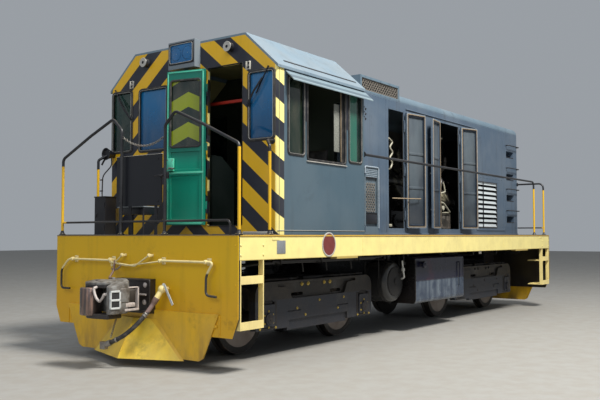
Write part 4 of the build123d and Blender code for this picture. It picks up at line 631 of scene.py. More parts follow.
class Piece:
    """Gathers the faces of one fitting."""

    def __init__(self, matrix=None):
        self.mesh = bmesh.new()
        self.matrix = matrix or Matrix.Identity(4)

    def block(self, low, high, edge=0.003, turn=None):
        """A box between two corners, its edges rounded."""
        low, high = Vector(low), Vector(high)
        size = Vector([abs(high[axis] - low[axis]) for axis in range(3)])
        made = bmesh.ops.create_cube(self.mesh, size=1.0)["verts"]
        place = Matrix.Translation(
            (low + high) / 2) @ (turn or Matrix.Identity(4)) @ Matrix.Diagonal((*size, 1))
        bmesh.ops.transform(self.mesh, matrix=self.matrix @ place, verts=made)
        edge = min(edge, 0.3 * min(size))
        if edge > 0.0004:
            lines = list(dict.fromkeys(line for vertex in made for line in vertex.link_edges))
            bmesh.ops.bevel(self.mesh, geom=lines, offset=edge, segments=2, affect="EDGES", profile=0.5)
        return self

    def rings(self, loops, closed=False, caps=True):
        """Skins a row of loops that have the same number of points."""
        rows = [[self.mesh.verts.new(self.matrix @ Vector(point)) for point in loop] for loop in loops]
        pairs = list(zip(rows, rows[1:])) + ([(rows[-1], rows[0])] if closed else [])
        for first, second in pairs:
            for index in range(len(first)):
                after = (index + 1) % len(first)
                self.mesh.faces.new((first[index], first[after], second[after], second[index]))
        if caps and not closed:
            self.mesh.faces.new(list(reversed(rows[0])))
            self.mesh.faces.new(rows[-1])
        return self

    def sweep(self, points, section, up=None, closed=False):
        """Carries a section of (across, out) pairs along a line, mitred at its corners."""
        points = [Vector(point) for point in points]
        count = len(points)
        loops = []
        side = None
        for index, point in enumerate(points):
            before = points[index - 1] if index or closed else None
            after = points[(index + 1) % count] if index + 1 < count or closed else None
            incoming = (point - before).normalized() if before is not None else (after - point).normalized()
            outgoing = (after - point).normalized() if after is not None else incoming
            along = (incoming + outgoing).normalized()
            if up is not None:
                side = along.cross(Vector(up)).normalized()
            elif side is None:
                side = along.orthogonal().normalized()
            else:
                side = (side - along * side.dot(along)).normalized()
            out = side.cross(along).normalized()
            half = max(0.35, incoming.dot(along))
            bend = outgoing - incoming
            loop = []
            for across, proud in section:
                offset = side * across + out * proud
                if bend.length > 1e-5:
                    turn = bend.normalized()
                    offset += turn * offset.dot(turn) * (1 / half - 1)
                loop.append(point + offset)
            loops.append(loop)
        return self.rings(loops, closed)

    def rod(self, points, radius, sides=12, closed=False, bend=0):
        section = [(radius * cos(2 * pi * step / sides), radius * sin(2 * pi * step / sides))
                   for step in range(sides)]
        return self.sweep(rounded(points, bend) if bend else points, section, closed=closed)

    def turned(self, at, axis, profile, sides=24):
        """A lathe-turned shape: profile holds (distance along the axis, radius)."""
        turn = Matrix.Translation(Vector(at)) @ rotation_to(axis)
        angles = [2 * pi * step / sides for step in range(sides)]
        return self.rings([
            [turn @ Vector((radius * cos(angle), radius * sin(angle), along)) for angle in angles]
            for along, radius in profile])

    def bolt(self, at, axis=(0, -1, 0), across=0.022, washer=True):
        """A six-sided head on its washer."""
        turn = random.random()
        spin = Matrix.Translation(Vector(at)) @ rotation_to(axis) @ Matrix.Rotation(turn, 4, "Z")
        high = 0.55 * across
        if washer:
            self.rings([[spin @ Vector((r * cos(pi * k / 6), r * sin(pi * k / 6), z)) for k in range(12)]
                        for z, r in ((-0.002, 0.85 * across), (0.12 * across, 0.85 * across))])
        self.rings([[spin @ Vector((r * cos(pi * k / 3), r * sin(pi * k / 3), z)) for k in range(6)]
                    for z, r in ((0, 0.58 * across), (0.8 * high, 0.58 * across), (high, 0.46 * across))])
        return self

    def rivet(self, at, axis=(0, -1, 0), radius=0.008):
        spin = Matrix.Translation(Vector(at)) @ rotation_to(axis)
        profile = ((-0.001, radius), (0.35 * radius, 0.85 * radius), (0.6 * radius, 0.4 * radius))
        return self.rings([[spin @ Vector((r * cos(pi * k / 4), r * sin(pi * k / 4), z)) for k in range(8)]
                           for z, r in profile])

    def make(self, name, finish, body="chassis", slot=None, sharp=38.0):
        bmesh.ops.recalc_face_normals(self.mesh, faces=self.mesh.faces)
        mesh = bpy.data.meshes.new(name)
        self.mesh.to_mesh(mesh)
        self.mesh.free()
        mesh.polygons.foreach_set("use_smooth", [True] * len(mesh.polygons))
        mesh.set_sharp_from_angle(angle=radians(sharp))
        made = shown(name, mesh)
        made.data.materials.append(finish)
        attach(made, body)
        return made


def rounded(points, radius, steps=5, closed=False):
    """The same line with its corners turned into arcs."""
    points = [Vector(point) for point in points]
    count = len(points)
    line = []
    for index, point in enumerate(points):
        if not closed and index in (0, count - 1):
            line.append(point)
            continue
        before, after = points[index - 1], points[(index + 1) % count]
        to_before, to_after = before - point, after - point
        reach = min(radius, 0.45 * to_before.length, 0.45 * to_after.length)
        start, end = point + to_before.normalized() * reach, point + to_after.normalized() * reach
        for step in range(steps + 1):
            share = step / steps
            line.append(start.lerp(point, share).lerp(point.lerp(end, share), share))
    return line


def window_line(axis, level, centre, width, zs, corner=0.045):
    """The outline of a round-cornered window in a wall that faces X or Y."""
    low, high = centre - width / 2, centre + width / 2
    corners = upright((low, high), level, zs)
    if axis == "X":
        corners = [(y, x, z) for x, y, z in corners]
    return rounded(corners, corner, 5, closed=True)


def gasket(piece, line, normal, width=0.022, proud=0.01, inset=0.004):
    """Rubber strip round a window, half over the wall and half over the pane."""
    section = [(-width / 2, -inset), (width / 2, -inset), (width / 2, proud * 0.5), (width * 0.28, proud),
               (-width * 0.28, proud), (-width / 2, proud * 0.5)]
    return piece.sweep(line, section, up=normal, closed=True)


# Brake hose from the front angle cock to its coupling head
HOSE_ROUTE = [
    (-4.86, -0.424, 0.738), (-4.896, -0.398, 0.664), (-4.95, -0.362, 0.575), (-5.012, -0.312, 0.482),
    (-5.072, -0.24, 0.394), (-5.118, -0.146, 0.322), (-5.142, -0.036, 0.276)]
HOSE_RADIUS = 0.024


def route_curve(name, depth):
    curve = bpy.data.curves.new(name, "CURVE")
    curve.dimensions = "3D"
    curve.bevel_depth = depth
    curve.bevel_resolution = 6
    curve.use_fill_caps = depth > 0
    spline = curve.splines.new("NURBS")
    spline.points.add(len(HOSE_ROUTE) - 1)
    for point, place in zip(spline.points, HOSE_ROUTE):
        point.co = (*place, 1.0)
    spline.order_u = 3
    spline.use_endpoint_u = True
    spline.resolution_u = 12
    return shown(name, curve)


hose = route_curve("brake_hose", HOSE_RADIUS)
hose.data.materials.append(hose_rubber)
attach(hose, "chassis")
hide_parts("brake_hose_front")
centreline = route_curve("hose_line", 0)
bpy.context.view_layer.update()
line_mesh = bpy.data.meshes.new_from_object(centreline)
hose_line = [vertex.co.copy() for vertex in line_mesh.vertices]
bpy.data.objects.remove(centreline)
bpy.data.meshes.remove(line_mesh)


def on_hose(share):
    """Point and direction on the hose at a share of its length."""
    index = min(int(share * (len(hose_line) - 1)), len(hose_line) - 2)
    return hose_line[index], (hose_line[index + 1] - hose_line[index]).normalized()


clamps = Piece()
for share in (0.05, 0.3, 0.345, 0.93):
    at, way = on_hose(share)
    clamps.turned(
        at - way * 0.009, way, [(0, 0.0235), (0, 0.0275), (0.002, 0.029), (0.016, 0.029), (0.018, 0.0275),
        (0.018, 0.0235)], 28)
    side = way.cross(Z).normalized()
    clamps.block(
        at + side * 0.034 - Vector((0.009, 0.009, 0.008)), at + side * 0.034 + Vector((0.009, 0.009, 0.008)))
clamps = clamps.make("hose_clamps", dull_steel)
fitting = Piece()
at, way = on_hose(0)
fitting.turned(
    at, way, [(-0.004, 0.03), (0, 0.034), (0.05, 0.033), (0.056, 0.029), (0.075, 0.0275), (0.075, 0.024)],
    28)
fitting = fitting.make("hose_top_fitting", bolt_brown)

# Windows: (middle across the wall, width, (sill, head))
FRONT_WINDOWS = ((-1.138, 0.36, (2.46, 3.226)), (0.575, 0.49, (2.446, 3.216)), (1.138, 0.36, (2.46, 3.226)))
SIDE_WINDOWS = ((1.095, 0.31, (2.306, 3.176)), (1.713, 0.81, (2.268, 3.176)), (2.345, 0.3, (2.306, 3.176)))
REAR_WINDOWS = ((-1.09, 0.33, (2.32, 3.13)), (1.09, 0.33, (2.32, 3.13)))
seals, beads = Piece(), Piece()
for middle, width, zs in FRONT_WINDOWS:
    gasket(seals, window_line("X", CAB_FACE, middle, width, zs), -X, 0.036, 0.013)
    gasket(
        beads, window_line("X", CAB_FACE, middle, width - 0.018, (zs[0] + 0.009, zs[1] - 0.009), 0.038), -X,
        0.0045, 0.0155)
for middle, width, zs in REAR_WINDOWS:
    gasket(seals, window_line("X", CAB_BACK, middle, width, zs), X, 0.03, 0.012)
for side in (-1, 1):
    for station, width, zs in SIDE_WINDOWS:
        line = window_line("Y", side * CAB_HALF, st(station), width, zs)
        gasket(seals, line, side * Y, 0.03, 0.012)
        if width < 0.5:
            gasket(
                beads, window_line("Y", side * CAB_HALF, st(station), width - 0.016,
                (zs[0] + 0.008, zs[1] - 0.008), 0.038), side * Y, 0.004, 0.014)
seals.make("window_seals", black_rubber)
beads.make("window_beads", pale_bead)

# Open side window: dark post with a tan line, speckled panel and pale sill line; clips at the hood joint
for name, side in (("near", -1), ("far", 1)):
    inner = side * (CAB_HALF - 0.028)
    post = Piece()
    post.block((st(2.049), inner - 0.012, 2.272), (st(2.116), inner + 0.012, 3.172))
    post.sweep(rounded(upright((st(1.318), st(2.11)), inner, (2.28, 3.166)), 0.03, closed=True),
               strip(0.007, 0.006, 0.007, 0.006), up=side * Y, closed=True)
    post.make(f"sash_post_{name}", black_rubber)
    panel = Piece()
    panel.block((st(1.928), inner - side * 0.02, 2.417), (st(2.045), inner - side * 0.012, 3.0), 0.002)
    panel.make(f"sash_panel_{name}", plain(f"panel_speckle_{name}", (0.24, 0.25, 0.22), 0.7, 0, 1.0, 60.0),
               slot="grey_paint")
    lines = Piece()
    lines.block(spot(2.042, CAB_HALF - 0.026, 2.3), spot(2.05, CAB_HALF - 0.014, 3.15), 0.001)
    lines.make(f"sash_line_{name}", gasket_tan, slot="lamp_housing")
    ledge = Piece()
    ledge.block(spot(1.29, CAB_HALF - 0.002, 2.244), spot(2.136, CAB_HALF + 0.016, 2.254), 0.002)
    ledge.make(f"window_ledge_{name}", pale_bead)
    clips = Piece()
    for height in (3.06, 3.13, 3.2):
        clips.block(
            spot(3.36, HOOD_HALF - 0.001, height), spot(3.42, HOOD_HALF + 0.02, height + 0.022), 0.004)
        clips.bolt(spot(3.47, HOOD_HALF, height - 0.01), side * Y, 0.02)
    clips.make(f"hood_joint_clips_{name}", black_enamel)

# Wipers on the cab front
wipers = Piece()
for side, (pivot, tip) in ((-1, ((-0.961, 2.857), (-1.172, 3.136))), (1, ((0.962, 2.877), (1.181, 3.144)))):
    base = Vector((CAB_FACE, pivot[0], pivot[1]))
    end = Vector((CAB_FACE - 0.03, tip[0], tip[1]))
    wipers.turned(
        base, -X, [(-0.002, 0.02), (0.018, 0.02), (0.024, 0.012), (0.04, 0.012), (0.04, 0.002)], 16)
    wipers.sweep(
        [base - X * 0.032, base.lerp(end, 0.5) - X * 0.034, end], strip(0.012, 0.004, 0.01, 0.004), up=-X)
    along = (end - base).normalized()
    blade = Vector((0, along.y * 0.55 + side * 0.15, along.z)).normalized()
    wipers.sweep([end - blade * 0.19 + X * 0.012, end + blade * 0.15 + X * 0.012],
                 strip(0.004, 0.012, 0.006, 0.004), up=-X)
wipers.make("wipers", black_enamel)

# Headlight: hood lip, two reflector bowls and the tinted pane; round lamps and number lamps
light_front = CAB_FACE - 0.1
bezel = Piece()
pane_line = window_line("X", light_front, 0, 0.386, (3.436, 3.678), 0.03)
gasket(bezel, pane_line, -X, 0.02, 0.008)
bezel.turned(
    (CAB_FACE - 0.06, -0.2005, 3.56), -Y, [(-0.004, 0.016), (0.004, 0.016), (0.008, 0.01), (0.01, 0.003)],
    16)
bezel.block((light_front - 0.002, -0.206, 3.428), (light_front + 0.004, -0.188, 3.686), 0.002)
bezel.block((light_front - 0.002, 0.188, 3.428), (light_front + 0.004, 0.206, 3.686), 0.002)
bezel.make("headlight_bezel", black_enamel)
light_bead = Piece()
gasket(light_bead, window_line("X", light_front - 0.007, 0, 0.366, (3.446, 3.668), 0.026), -X, 0.005,
       0.003, 0.002)
light_bead.make("headlight_bead", pale_bead)
bowls = Piece()
for side in (-1, 1):
    bowls.turned(
        (CAB_FACE - 0.07, side * 0.092, 3.557), -X, [(0, 0.012), (0.003, 0.04), (0.012, 0.066),
        (0.026, 0.078), (0.026, 0.082), (0, 0.082)], 32)
bowls.make(
    "headlight_reflectors", bare_steel("reflector_silver", (0.8, 0.8, 0.78), 0.08, 0.1), slot="lamp_housing")
bulbs = Piece()
for side in (-1, 1):
    bulbs.turned((CAB_FACE - 0.072, side * 0.092, 3.557), -X,
                 [(0, 0.012), (0.012, 0.012), (0.02, 0.008), (0.024, 0.002)], 16)
bulbs.make("headlight_bulbs", plain("bulb_pale", (0.8, 0.78, 0.66), 0.2), slot="lamp_housing")
pane = Piece()
pane.block((light_front + 0.004, -0.19, 3.44), (light_front + 0.009, 0.19, 3.674), 0.001)
pane.make("headlight_pane", glass("headlight_tint", (0.02, 0.17, 0.42), 0.55), slot="window_glass")
markers, marker_lenses, marker_highlight_rings, brackets = Piece(), Piece(), Piece(), Piece()
for side in (-1, 1):
    markers.turned(
        (CAB_FACE - 0.052, side * 0.69, 3.546), -X, [(0, 0.056), (0.01, 0.06), (0.02, 0.056), (0.02, 0.048),
        (0.006, 0.044)], 28)
    marker_lenses.turned(
        (CAB_FACE - 0.058, side * 0.69, 3.546), -X, [(0, 0.046), (0.008, 0.042), (0.016, 0.026),
        (0.019, 0.006)], 24)
    for post in (0.93, 0.982):
        brackets.block((CAB_FACE - 0.02, side * post - 0.003, 3.256),
                       (CAB_FACE + 0.002, side * post + 0.003, 3.352), 0.001)
    for rung in (3.262, 3.304, 3.346):
        brackets.block((CAB_FACE - 0.018, side * 0.956 - 0.026, rung - 0.003),
                       (CAB_FACE - 0.012, side * 0.956 + 0.026, rung + 0.003), 0.001)
    marker_highlight_rings.turned(
        (CAB_FACE - 0.07, side * 0.69, 3.546), -X, [(0, 0.0575), (0.003, 0.0585), (0.005, 0.056),
        (0.005, 0.0535)], 28)
markers.make("marker_lamp_rims", black_enamel)
# Pale rings on the marker lamps' rims are painted highlights
marker_highlight_rings.make("marker_lamp_highlight_rings", pale_bead)
marker_lenses.make(
    "marker_lamp_lenses", plain("marker_lens", (0.012, 0.013, 0.016), 0.12), slot="lamp_housing")
brackets.make("number_lamp_brackets", plain("bracket_white", (0.62, 0.6, 0.54), 0.5), slot="lamp_housing")

# Cab edges: base trim strip, drip rails, corner rivets and roof seams
trim = Piece()
for side in (-1, 1):
    trim.block((CAB_FACE + 0.004, side * (CAB_HALF - 0.001), 1.452),
               (CAB_BACK, side * (CAB_HALF + 0.006), 1.458), 0.001)
trim.block((CAB_FACE - 0.006, -1.3, DECK + 0.002), (CAB_FACE + 0.002, -0.875, 1.444), 0.002)
trim.make("cab_base_trim", pale_bead, slot="grey_paint")
# A raised strip along each roof edge, painted black as the shadow line under it
roof_shadow_line = Piece()
for side in (-1, 1):
    roof_shadow_line.sweep(
        [spot(0.96, 1.272, 3.341), spot(2.478, 1.272, 3.341)], strip(0.013, 0.004, 0.012, 0.02),
        up=Vector((0, side * 0.69, 0.72)))
roof_shadow_line.make("cab_roof_edge_shadow_strips", black_enamel)
seams = Piece()
for side in (-1, 1):
    seams.sweep([(CAB_FACE - 0.004, side * 1.362, 3.25), (CAB_BACK + 0.012, side * 1.362, 3.25)],
                strip(0.006, 0.004, 0.006, 0.006), up=Z)
    for station in (0.78, 1.36, 1.94, 2.5):
        seams.sweep([spot(station, 1.372, 3.262), spot(station, 0.902, 3.692), (st(station), 0, 3.692)],
                    strip(0.014, 0.002, 0.012, 0.003), up=Vector((0, side * 0.7, 1)))
seams.make("cab_roof_seams", roof_grey)

# Rivet rows and small bolts on the cab and hood sheets
rivets = Piece()
for side in (-1, 1):
    wall = side * CAB_HALF
    for height in [1.52 + 0.115 * step for step in range(15)]:
        rivets.rivet((CAB_BACK - 0.03, wall, height), side * Y, 0.006)
rivets.make("cab_rivets", cab_slate)
hood_bolts = Piece()
for side in (-1, 1):
    wall = side * HOOD_HALF
    for low, high in ((4.122, 4.596), (5.751, 6.596)):
        for place in (low - 0.022, high + 0.022):
            for height in [1.56 + 0.17 * step for step in range(11)]:
                hood_bolts.rivet((st(place), wall, height), side * Y, 0.006)
        steps = int((high - low) / 0.105)
        for step in range(steps + 1):
            hood_bolts.rivet((st(low + (high - low) * step / steps), wall, 3.3), side * Y, 0.006)
    for step in range(15):
        hood_bolts.rivet((st(3.36 + 0.078 * step), wall, 3.41), side * Y, 0.0065)
    for height in (2.93, 3.05, 3.17, 3.23):
        hood_bolts.bolt((st(2.72), wall, height), side * Y, 0.018)
        hood_bolts.bolt((st(2.8), wall, height - 0.06), side * Y, 0.016)
    for station in [5.5 + 0.25 * step for step in range(15)]:
        hood_bolts.rivet(spot(station, HOOD_HALF - 0.002, 3.424), side * Y, 0.006)
hood_bolts.make("hood_bolts", hood_blue)

# Black strips along the niches' bottom edges are painted shadow
niches = Piece()
for side in (-1, 1):
    for height in (1.656, 2.08, 2.497, 2.943):
        niches.block(spot(8.815, HOOD_HALF - 0.004, height - 0.006),
                     spot(9.195, HOOD_HALF + 0.005, height + 0.008), 0.002)
niches.make("niche_shadow_lines", black_enamel)

# Panel joints on the hood: lapped strips and a rain strip over the doors
joints = Piece()
STRIP = strip(0.016, 0.001, 0.014, 0.004)
for side in (-1, 1):
    wall = side * HOOD_HALF
    for station in (4.06, 4.72, 5.62, 6.7, 7.36, 8.715):
        joints.sweep(upright_line(st(station), wall, (DECK + 0.03, 3.42)), STRIP, up=side * Y)
    joints.sweep([(st(4.66), wall, 3.345), (st(7.3), wall, 3.345)],
                 [(-0.01, -0.001), (0.01, -0.001), (0.006, 0.016), (-0.006, 0.012)], up=side * Y)
    joints.sweep(rounded(upright((st(7.345), st(8.69)), wall, (1.505, 2.543)), 0.02, closed=True),
                 strip(0.02, 0.001, 0.016, 0.009), up=side * Y, closed=True)
    joints.block(spot(2.56, HOOD_HALF - 0.002, DECK), spot(9.36, HOOD_HALF + 0.022, DECK + 0.03), 0.004)
for station in (5.95, 6.9, 7.9, 8.9):
    joints.sweep(
        [(st(station), -0.832, 3.43), (st(station), -0.795, 3.519), (st(station), -0.7, 3.559),
        (st(station), 0.7, 3.559), (st(station), 0.795, 3.519), (st(station), 0.832, 3.43)],
        strip(0.014, 0.001, 0.012, 0.003), up=Vector((0.02, 0, 1)))
joints.make("hood_joint_strips", hood_blue)


def leaf_matrix(hinge_x, hinge_y, along, angle):
    """The frame of a hinged leaf: x runs from its hinge to its free edge, z is up."""
    first = Matrix.Rotation(radians(angle), 3, "Z") @ Vector(along)
    second = Z.cross(first)
    return Matrix(
        ((first.x, second.x, 0, hinge_x), (first.y, second.y, 0, hinge_y), (0, 0, 1, 0), (0, 0, 0, 1)))


# Cab door fittings, on the leaf's inner face, which looks forward when the door stands open
door_matrix = leaf_matrix(CAB_FACE - 0.012, -0.334, -Y, -168)
DOOR_INNER, DOOR_OUTER, DOOR_WIDE = 0.052, 0.012, 0.511
door_seal = Piece(door_matrix)
pane_line = window_line("Y", DOOR_INNER, 0.006 + DOOR_WIDE / 2, DOOR_WIDE - 0.1, (2.436, 3.226), 0.04)
gasket(door_seal, pane_line, Y, 0.024, 0.009)
door_seal.sweep(
    window_line("Y", DOOR_OUTER, 0.006 + DOOR_WIDE / 2, DOOR_WIDE - 0.1, (2.436, 3.226), 0.04),
    strip(0.012, 0.004, 0.012, 0.004), up=-Y, closed=True)
door_seal.make("cab_door_seal", black_rubber, "cab_door")
door_trim = Piece(door_matrix)
door_trim.block((0.012, DOOR_INNER - 0.002, 2.118), (DOOR_WIDE - 0.004, DOOR_INNER + 0.008, 2.144))
for low, high in (((0.014, 1.53), (0.03, 3.33)), ((DOOR_WIDE - 0.018, 1.53), (DOOR_WIDE - 0.002, 3.33)),
                  ((0.014, 3.314), (DOOR_WIDE - 0.002, 3.33)), ((0.014, 1.53), (DOOR_WIDE - 0.002, 1.55))):
    door_trim.block((low[0], DOOR_INNER - 0.002, low[1]), (high[0], DOOR_INNER + 0.005, high[1]), 0.002)
door_trim.block(
    (DOOR_WIDE - 0.105, DOOR_INNER - 0.002, 2.155), (DOOR_WIDE - 0.02, DOOR_INNER + 0.034, 2.305), 0.006)
# The trim, rib and latch box are a lighter green, painted as the highlights on their edges
door_trim.make(
    "cab_door_trim", paint("door_trim_highlight_green", (0.075, 0.5, 0.34), gloss=0.35, dust=0.1, chips=0.6),
    "cab_door", "green_paint")
door_latch = Piece(door_matrix)
door_latch.rod(
    [(DOOR_WIDE - 0.06, DOOR_INNER + 0.03, 2.19), (DOOR_WIDE - 0.06, DOOR_INNER + 0.06, 2.19),
    (DOOR_WIDE - 0.14, DOOR_INNER + 0.062, 2.18)], 0.009, 12, bend=0.02)
for height in (2.175, 2.285):
    for across in (0.095, 0.032):
        door_latch.bolt((DOOR_WIDE - across, DOOR_INNER + 0.034, height), (0, 1, 0), 0.009)
door_latch.rod(
    [(DOOR_WIDE - 0.045, DOOR_OUTER + 0.002, 2.02), (DOOR_WIDE - 0.045, -0.022, 2.02),
    (DOOR_WIDE - 0.045, -0.022, 2.26), (DOOR_WIDE - 0.045, DOOR_OUTER + 0.002, 2.26)], 0.008, 10, bend=0.015)
door_latch.make("cab_door_latch", dull_steel, "cab_door")

# Yellow and black edging on the doorway's post, and a black frame round the doorway
edging = Piece()
for step in range(14):
    low = 1.53 + 0.13 * step
    if step % 2 == 0:
        edging.block((CAB_FACE + 0.001, -0.3385, low), (CAB_FACE + 0.047, -0.3335, low + 0.128), 0.001)
edging.make("doorway_edging", end_yellow)
door_post = Piece()
door_post.block((CAB_FACE - 0.004, -0.869, 1.52), (CAB_FACE + 0.02, -0.86, 3.352), 0.002)
door_post.block((CAB_FACE - 0.004, -0.869, 3.346), (CAB_FACE + 0.02, -0.33, 3.356), 0.002)
door_post.block((CAB_FACE - 0.02, -0.855, 1.508), (CAB_FACE + 0.04, -0.345, 1.517))
door_post.make("doorway_frame", black_enamel)

# Hood doors: a tan gasket round each inner face, pale rim, dark groove, pressed panel and latches
HOOD_DOORS = {"a": (4.596, 4.122, 169.0), "b": (5.751, 6.1735, 171.0), "c": (6.596, 6.1735, 162.0)}
for side_name, side in (("near", -1), ("far", 1)):
    for key, (hinge, free, rest) in HOOD_DOORS.items():
        way = 1 if free > hinge else -1
        angle = -way * rest if side < 0 else 0
        hand = -side * way
        matrix = leaf_matrix(st(hinge), side * 0.842, (way, 0, 0), angle)
        width = abs(free - hinge) - 0.006 - (0.009 if key == "a" else 0.005)
        body = f"hood_door_{side_name}_{key}"
        inner = hand * 0.046
        low, high = 1.512, 3.276
        seal = Piece(matrix)
        path = rounded(upright((0.024, width - 0.012), inner, (low + 0.018, high - 0.018)), 0.012, 3, True)
        seal.sweep(path, strip(0.006, 0.003, 0.005, 0.006), up=Vector((0, hand, 0)), closed=True)
        seal.make(f"{body}_seal", gasket_tan, body, "grey_paint")
        skin = Piece(matrix)
        skin.block((0.06, hand * 0.018, low + 0.06), (width - 0.048, hand * 0.024, high - 0.06), 0.004)
        for height in (low + 0.62, high - 0.62):
            skin.block(
                (0.052, hand * 0.018, height - 0.02), (width - 0.04, hand * 0.034, height + 0.02), 0.004)
        skin.make(f"{body}_stiffener", leaf_grey, body)
        rim = Piece(matrix)
        groove = Piece(matrix)
        for sheet, shrink, proud, half in ((rim, 0, 0.0022, 0.0032), (groove, 0.032, 0.0015, 0.011)):
            corners = upright((0.008 + shrink, width - 0.002 - shrink), inner,
                              (low + 0.004 + shrink, high - 0.004 - shrink))
            sheet.sweep(rounded(corners, 0.01, 3, True), strip(half, 0.002, half, proud),
                        up=Vector((0, hand, 0)), closed=True)
        groove.make(f"{body}_groove", black_enamel, body, "grey_paint")
        rim.make(f"{body}_rim", rim_blue, body)
        latch = Piece(matrix)
        for height in (low + 0.3, (low + high) / 2, high - 0.3):
            latch.turned((width - 0.02, hand * 0.012, height), (0, -hand, 0),
                         [(-0.002, 0.02), (0.004, 0.02), (0.007, 0.014), (0.012, 0.012), (0.012, 0.003)], 16)
            latch.block(
                (width - 0.05, hand * 0.002, height - 0.005), (width - 0.004, hand * -0.01, height + 0.005),
                0.002)
            latch.bolt((width - 0.02, inner, height), (0, hand, 0), 0.012)
        latch.make(f"{body}_latches", dull_steel, body)

# Stay bar that holds the first door open
stay = Piece()
stay.rod([(st(4.15), -0.875, 1.95), (st(4.62), -0.935, 1.958), (st(4.88), -0.968, 1.964)], 0.008, 8)
stay.rod([(st(4.88), -0.968, 1.964), (st(4.88), -0.938, 1.964)], 0.01, 8)
stay.make("door_stay", gasket_tan, "hood_door_near_a", "coupler_casting")

# Diamond screen wires on both sides of the roof intake and on the deck cabinet
def screen(piece, corner, across, up, width, height, out, pitch=0.032, rise=0.016, wire=0.0026):
    """Expanded sheet: zigzag strands that meet at their points."""
    corner, across, up, out = (Vector(item) for item in (corner, across, up, out))
    rows = int(height / rise)
    columns = int(width / (pitch / 2))
    for row in range(rows):
        points = []
        for column in range(columns + 1):
            offset = 0.42 * rise if (row + column) % 2 else -0.42 * rise
            points.append(corner + across * (column * pitch / 2) + up * ((row + 0.5) * rise + offset))
        piece.sweep(points, [(-wire, -0.002), (wire, -0.002), (wire, 0.002), (-wire, 0.002)], up=out)
    return piece


intake = Piece()
for side in (-1, 1):
    face = side * (HOOD_HALF - 0.016)
    screen(intake, (st(3.376), face, 3.462), X, Z, 1.053, 0.168, side * Y, 0.066, 0.033, 0.0045)
    for low, high in (((3.376, 3.462), (4.429, 3.47)), ((3.376, 3.622), (4.429, 3.63)),
                      ((3.376, 3.462), (3.384, 3.63)), ((4.421, 3.462), (4.429, 3.63))):
        intake.block((st(low[0]), face - 0.005, low[1]), (st(high[0]), face + 0.005, high[1]), 0.001)
intake.make("intake_screens", screen_tan)
# Dark sheets behind the intake screens are painted shade inside the intake
intake_shade = Piece()
for side in (-1, 1):
    intake_shade.block(spot(3.374, HOOD_HALF - 0.0235, 3.46), spot(4.431, HOOD_HALF - 0.021, 3.632), 0)
intake_shade.make("intake_shadow_plates", dark_core_and_shadow, slot="radiator_core")
intake_bolts = Piece()
for side in (-1, 1):
    for station in (3.358, 3.62, 3.9, 4.18, 4.447):
        for height in (3.448, 3.648):
            intake_bolts.bolt(spot(station, HOOD_HALF, height), side * Y, 0.011, washer=False)
intake_bolts.make("intake_bolts", hood_blue)

# Louvre control rod with its clips, and bolts round the panel
louvre = Piece()
for side in (-1, 1):
    wall = side * (HOOD_HALF + 0.012)
    louvre.rod([(st(7.628), wall, 1.555), (st(7.628), wall, 2.385)], 0.008, 10)
    for row in range(10):
        height = 1.54 + (row + 0.36) * 0.0855
        louvre.block(spot(7.612, HOOD_HALF - 0.004, height - 0.006),
                     spot(7.644, HOOD_HALF + 0.016, height + 0.006), 0.002)
louvre.make("louvre_rods", black_enamel)
panel_bolts = Piece()
for side in (-1, 1):
    for step in range(9):
        for height in (1.522, 2.47):
            panel_bolts.bolt(spot(7.4 + 0.145 * step, HOOD_HALF + 0.001, height), side * Y, 0.014)
    for height in (1.7, 1.95, 2.2, 2.4):
        panel_bolts.bolt(spot(8.36, HOOD_HALF, height), side * Y, 0.014)
panel_bolts.make("louvre_panel_bolts", hood_blue)

# Deck cabinet beside the hood: screen, black bar, hinges and pipe clips
cabinet_face = -HOOD_HALF - 0.17
box = Piece()
screen(box, (st(3.196), cabinet_face + 0.012, 1.72), X, Z, 0.288, 0.42, -Y, 0.058, 0.034, 0.0045)
box.make("cabinet_screen", screen_tan)
box = Piece()
box.rod(
    [(st(3.16), cabinet_face - 0.006, 2.25), (st(3.16), cabinet_face - 0.006, 2.345),
    (st(3.522), cabinet_face - 0.006, 2.345), (st(3.522), cabinet_face - 0.006, 1.5)], 0.011, 10, bend=0.03)
for step in range(5):
    box.block((st(3.19), cabinet_face - 0.004, 2.205 + 0.024 * step),
              (st(3.49), cabinet_face + 0.008, 2.213 + 0.024 * step), 0.002)
box.make("cabinet_edge_rail", rim_blue)
box = Piece()
box.block((st(3.19), cabinet_face - 0.006, 1.56), (st(3.49), cabinet_face + 0.018, 1.69), 0.004)
for height in (1.7, 2.185):
    box.block(
        (st(3.19), cabinet_face - 0.002, height), (st(3.49), cabinet_face + 0.014, height + 0.016), 0.002)
box.make("cabinet_bar", black_enamel)
box = Piece()
for height in (1.5, 2.25):
    box.rod([(st(3.162), cabinet_face - 0.004, height - 0.04),
             (st(3.162), cabinet_face - 0.004, height + 0.04)], 0.007, 10)
for height in (1.55, 1.85, 2.15):
    box.block((st(3.535), -HOOD_HALF - 0.082, height), (st(3.615), -HOOD_HALF - 0.002, height + 0.02))
box.rod(
    [(st(3.66), -HOOD_HALF - 0.03, DECK), (st(3.66), -HOOD_HALF - 0.03, 2.2),
    (st(3.7), -HOOD_HALF - 0.01, 2.3), (st(3.7), -HOOD_HALF + 0.01, 2.32)], 0.014, 12, bend=0.04)
box.make("cabinet_hinges_and_pipe", hood_blue)

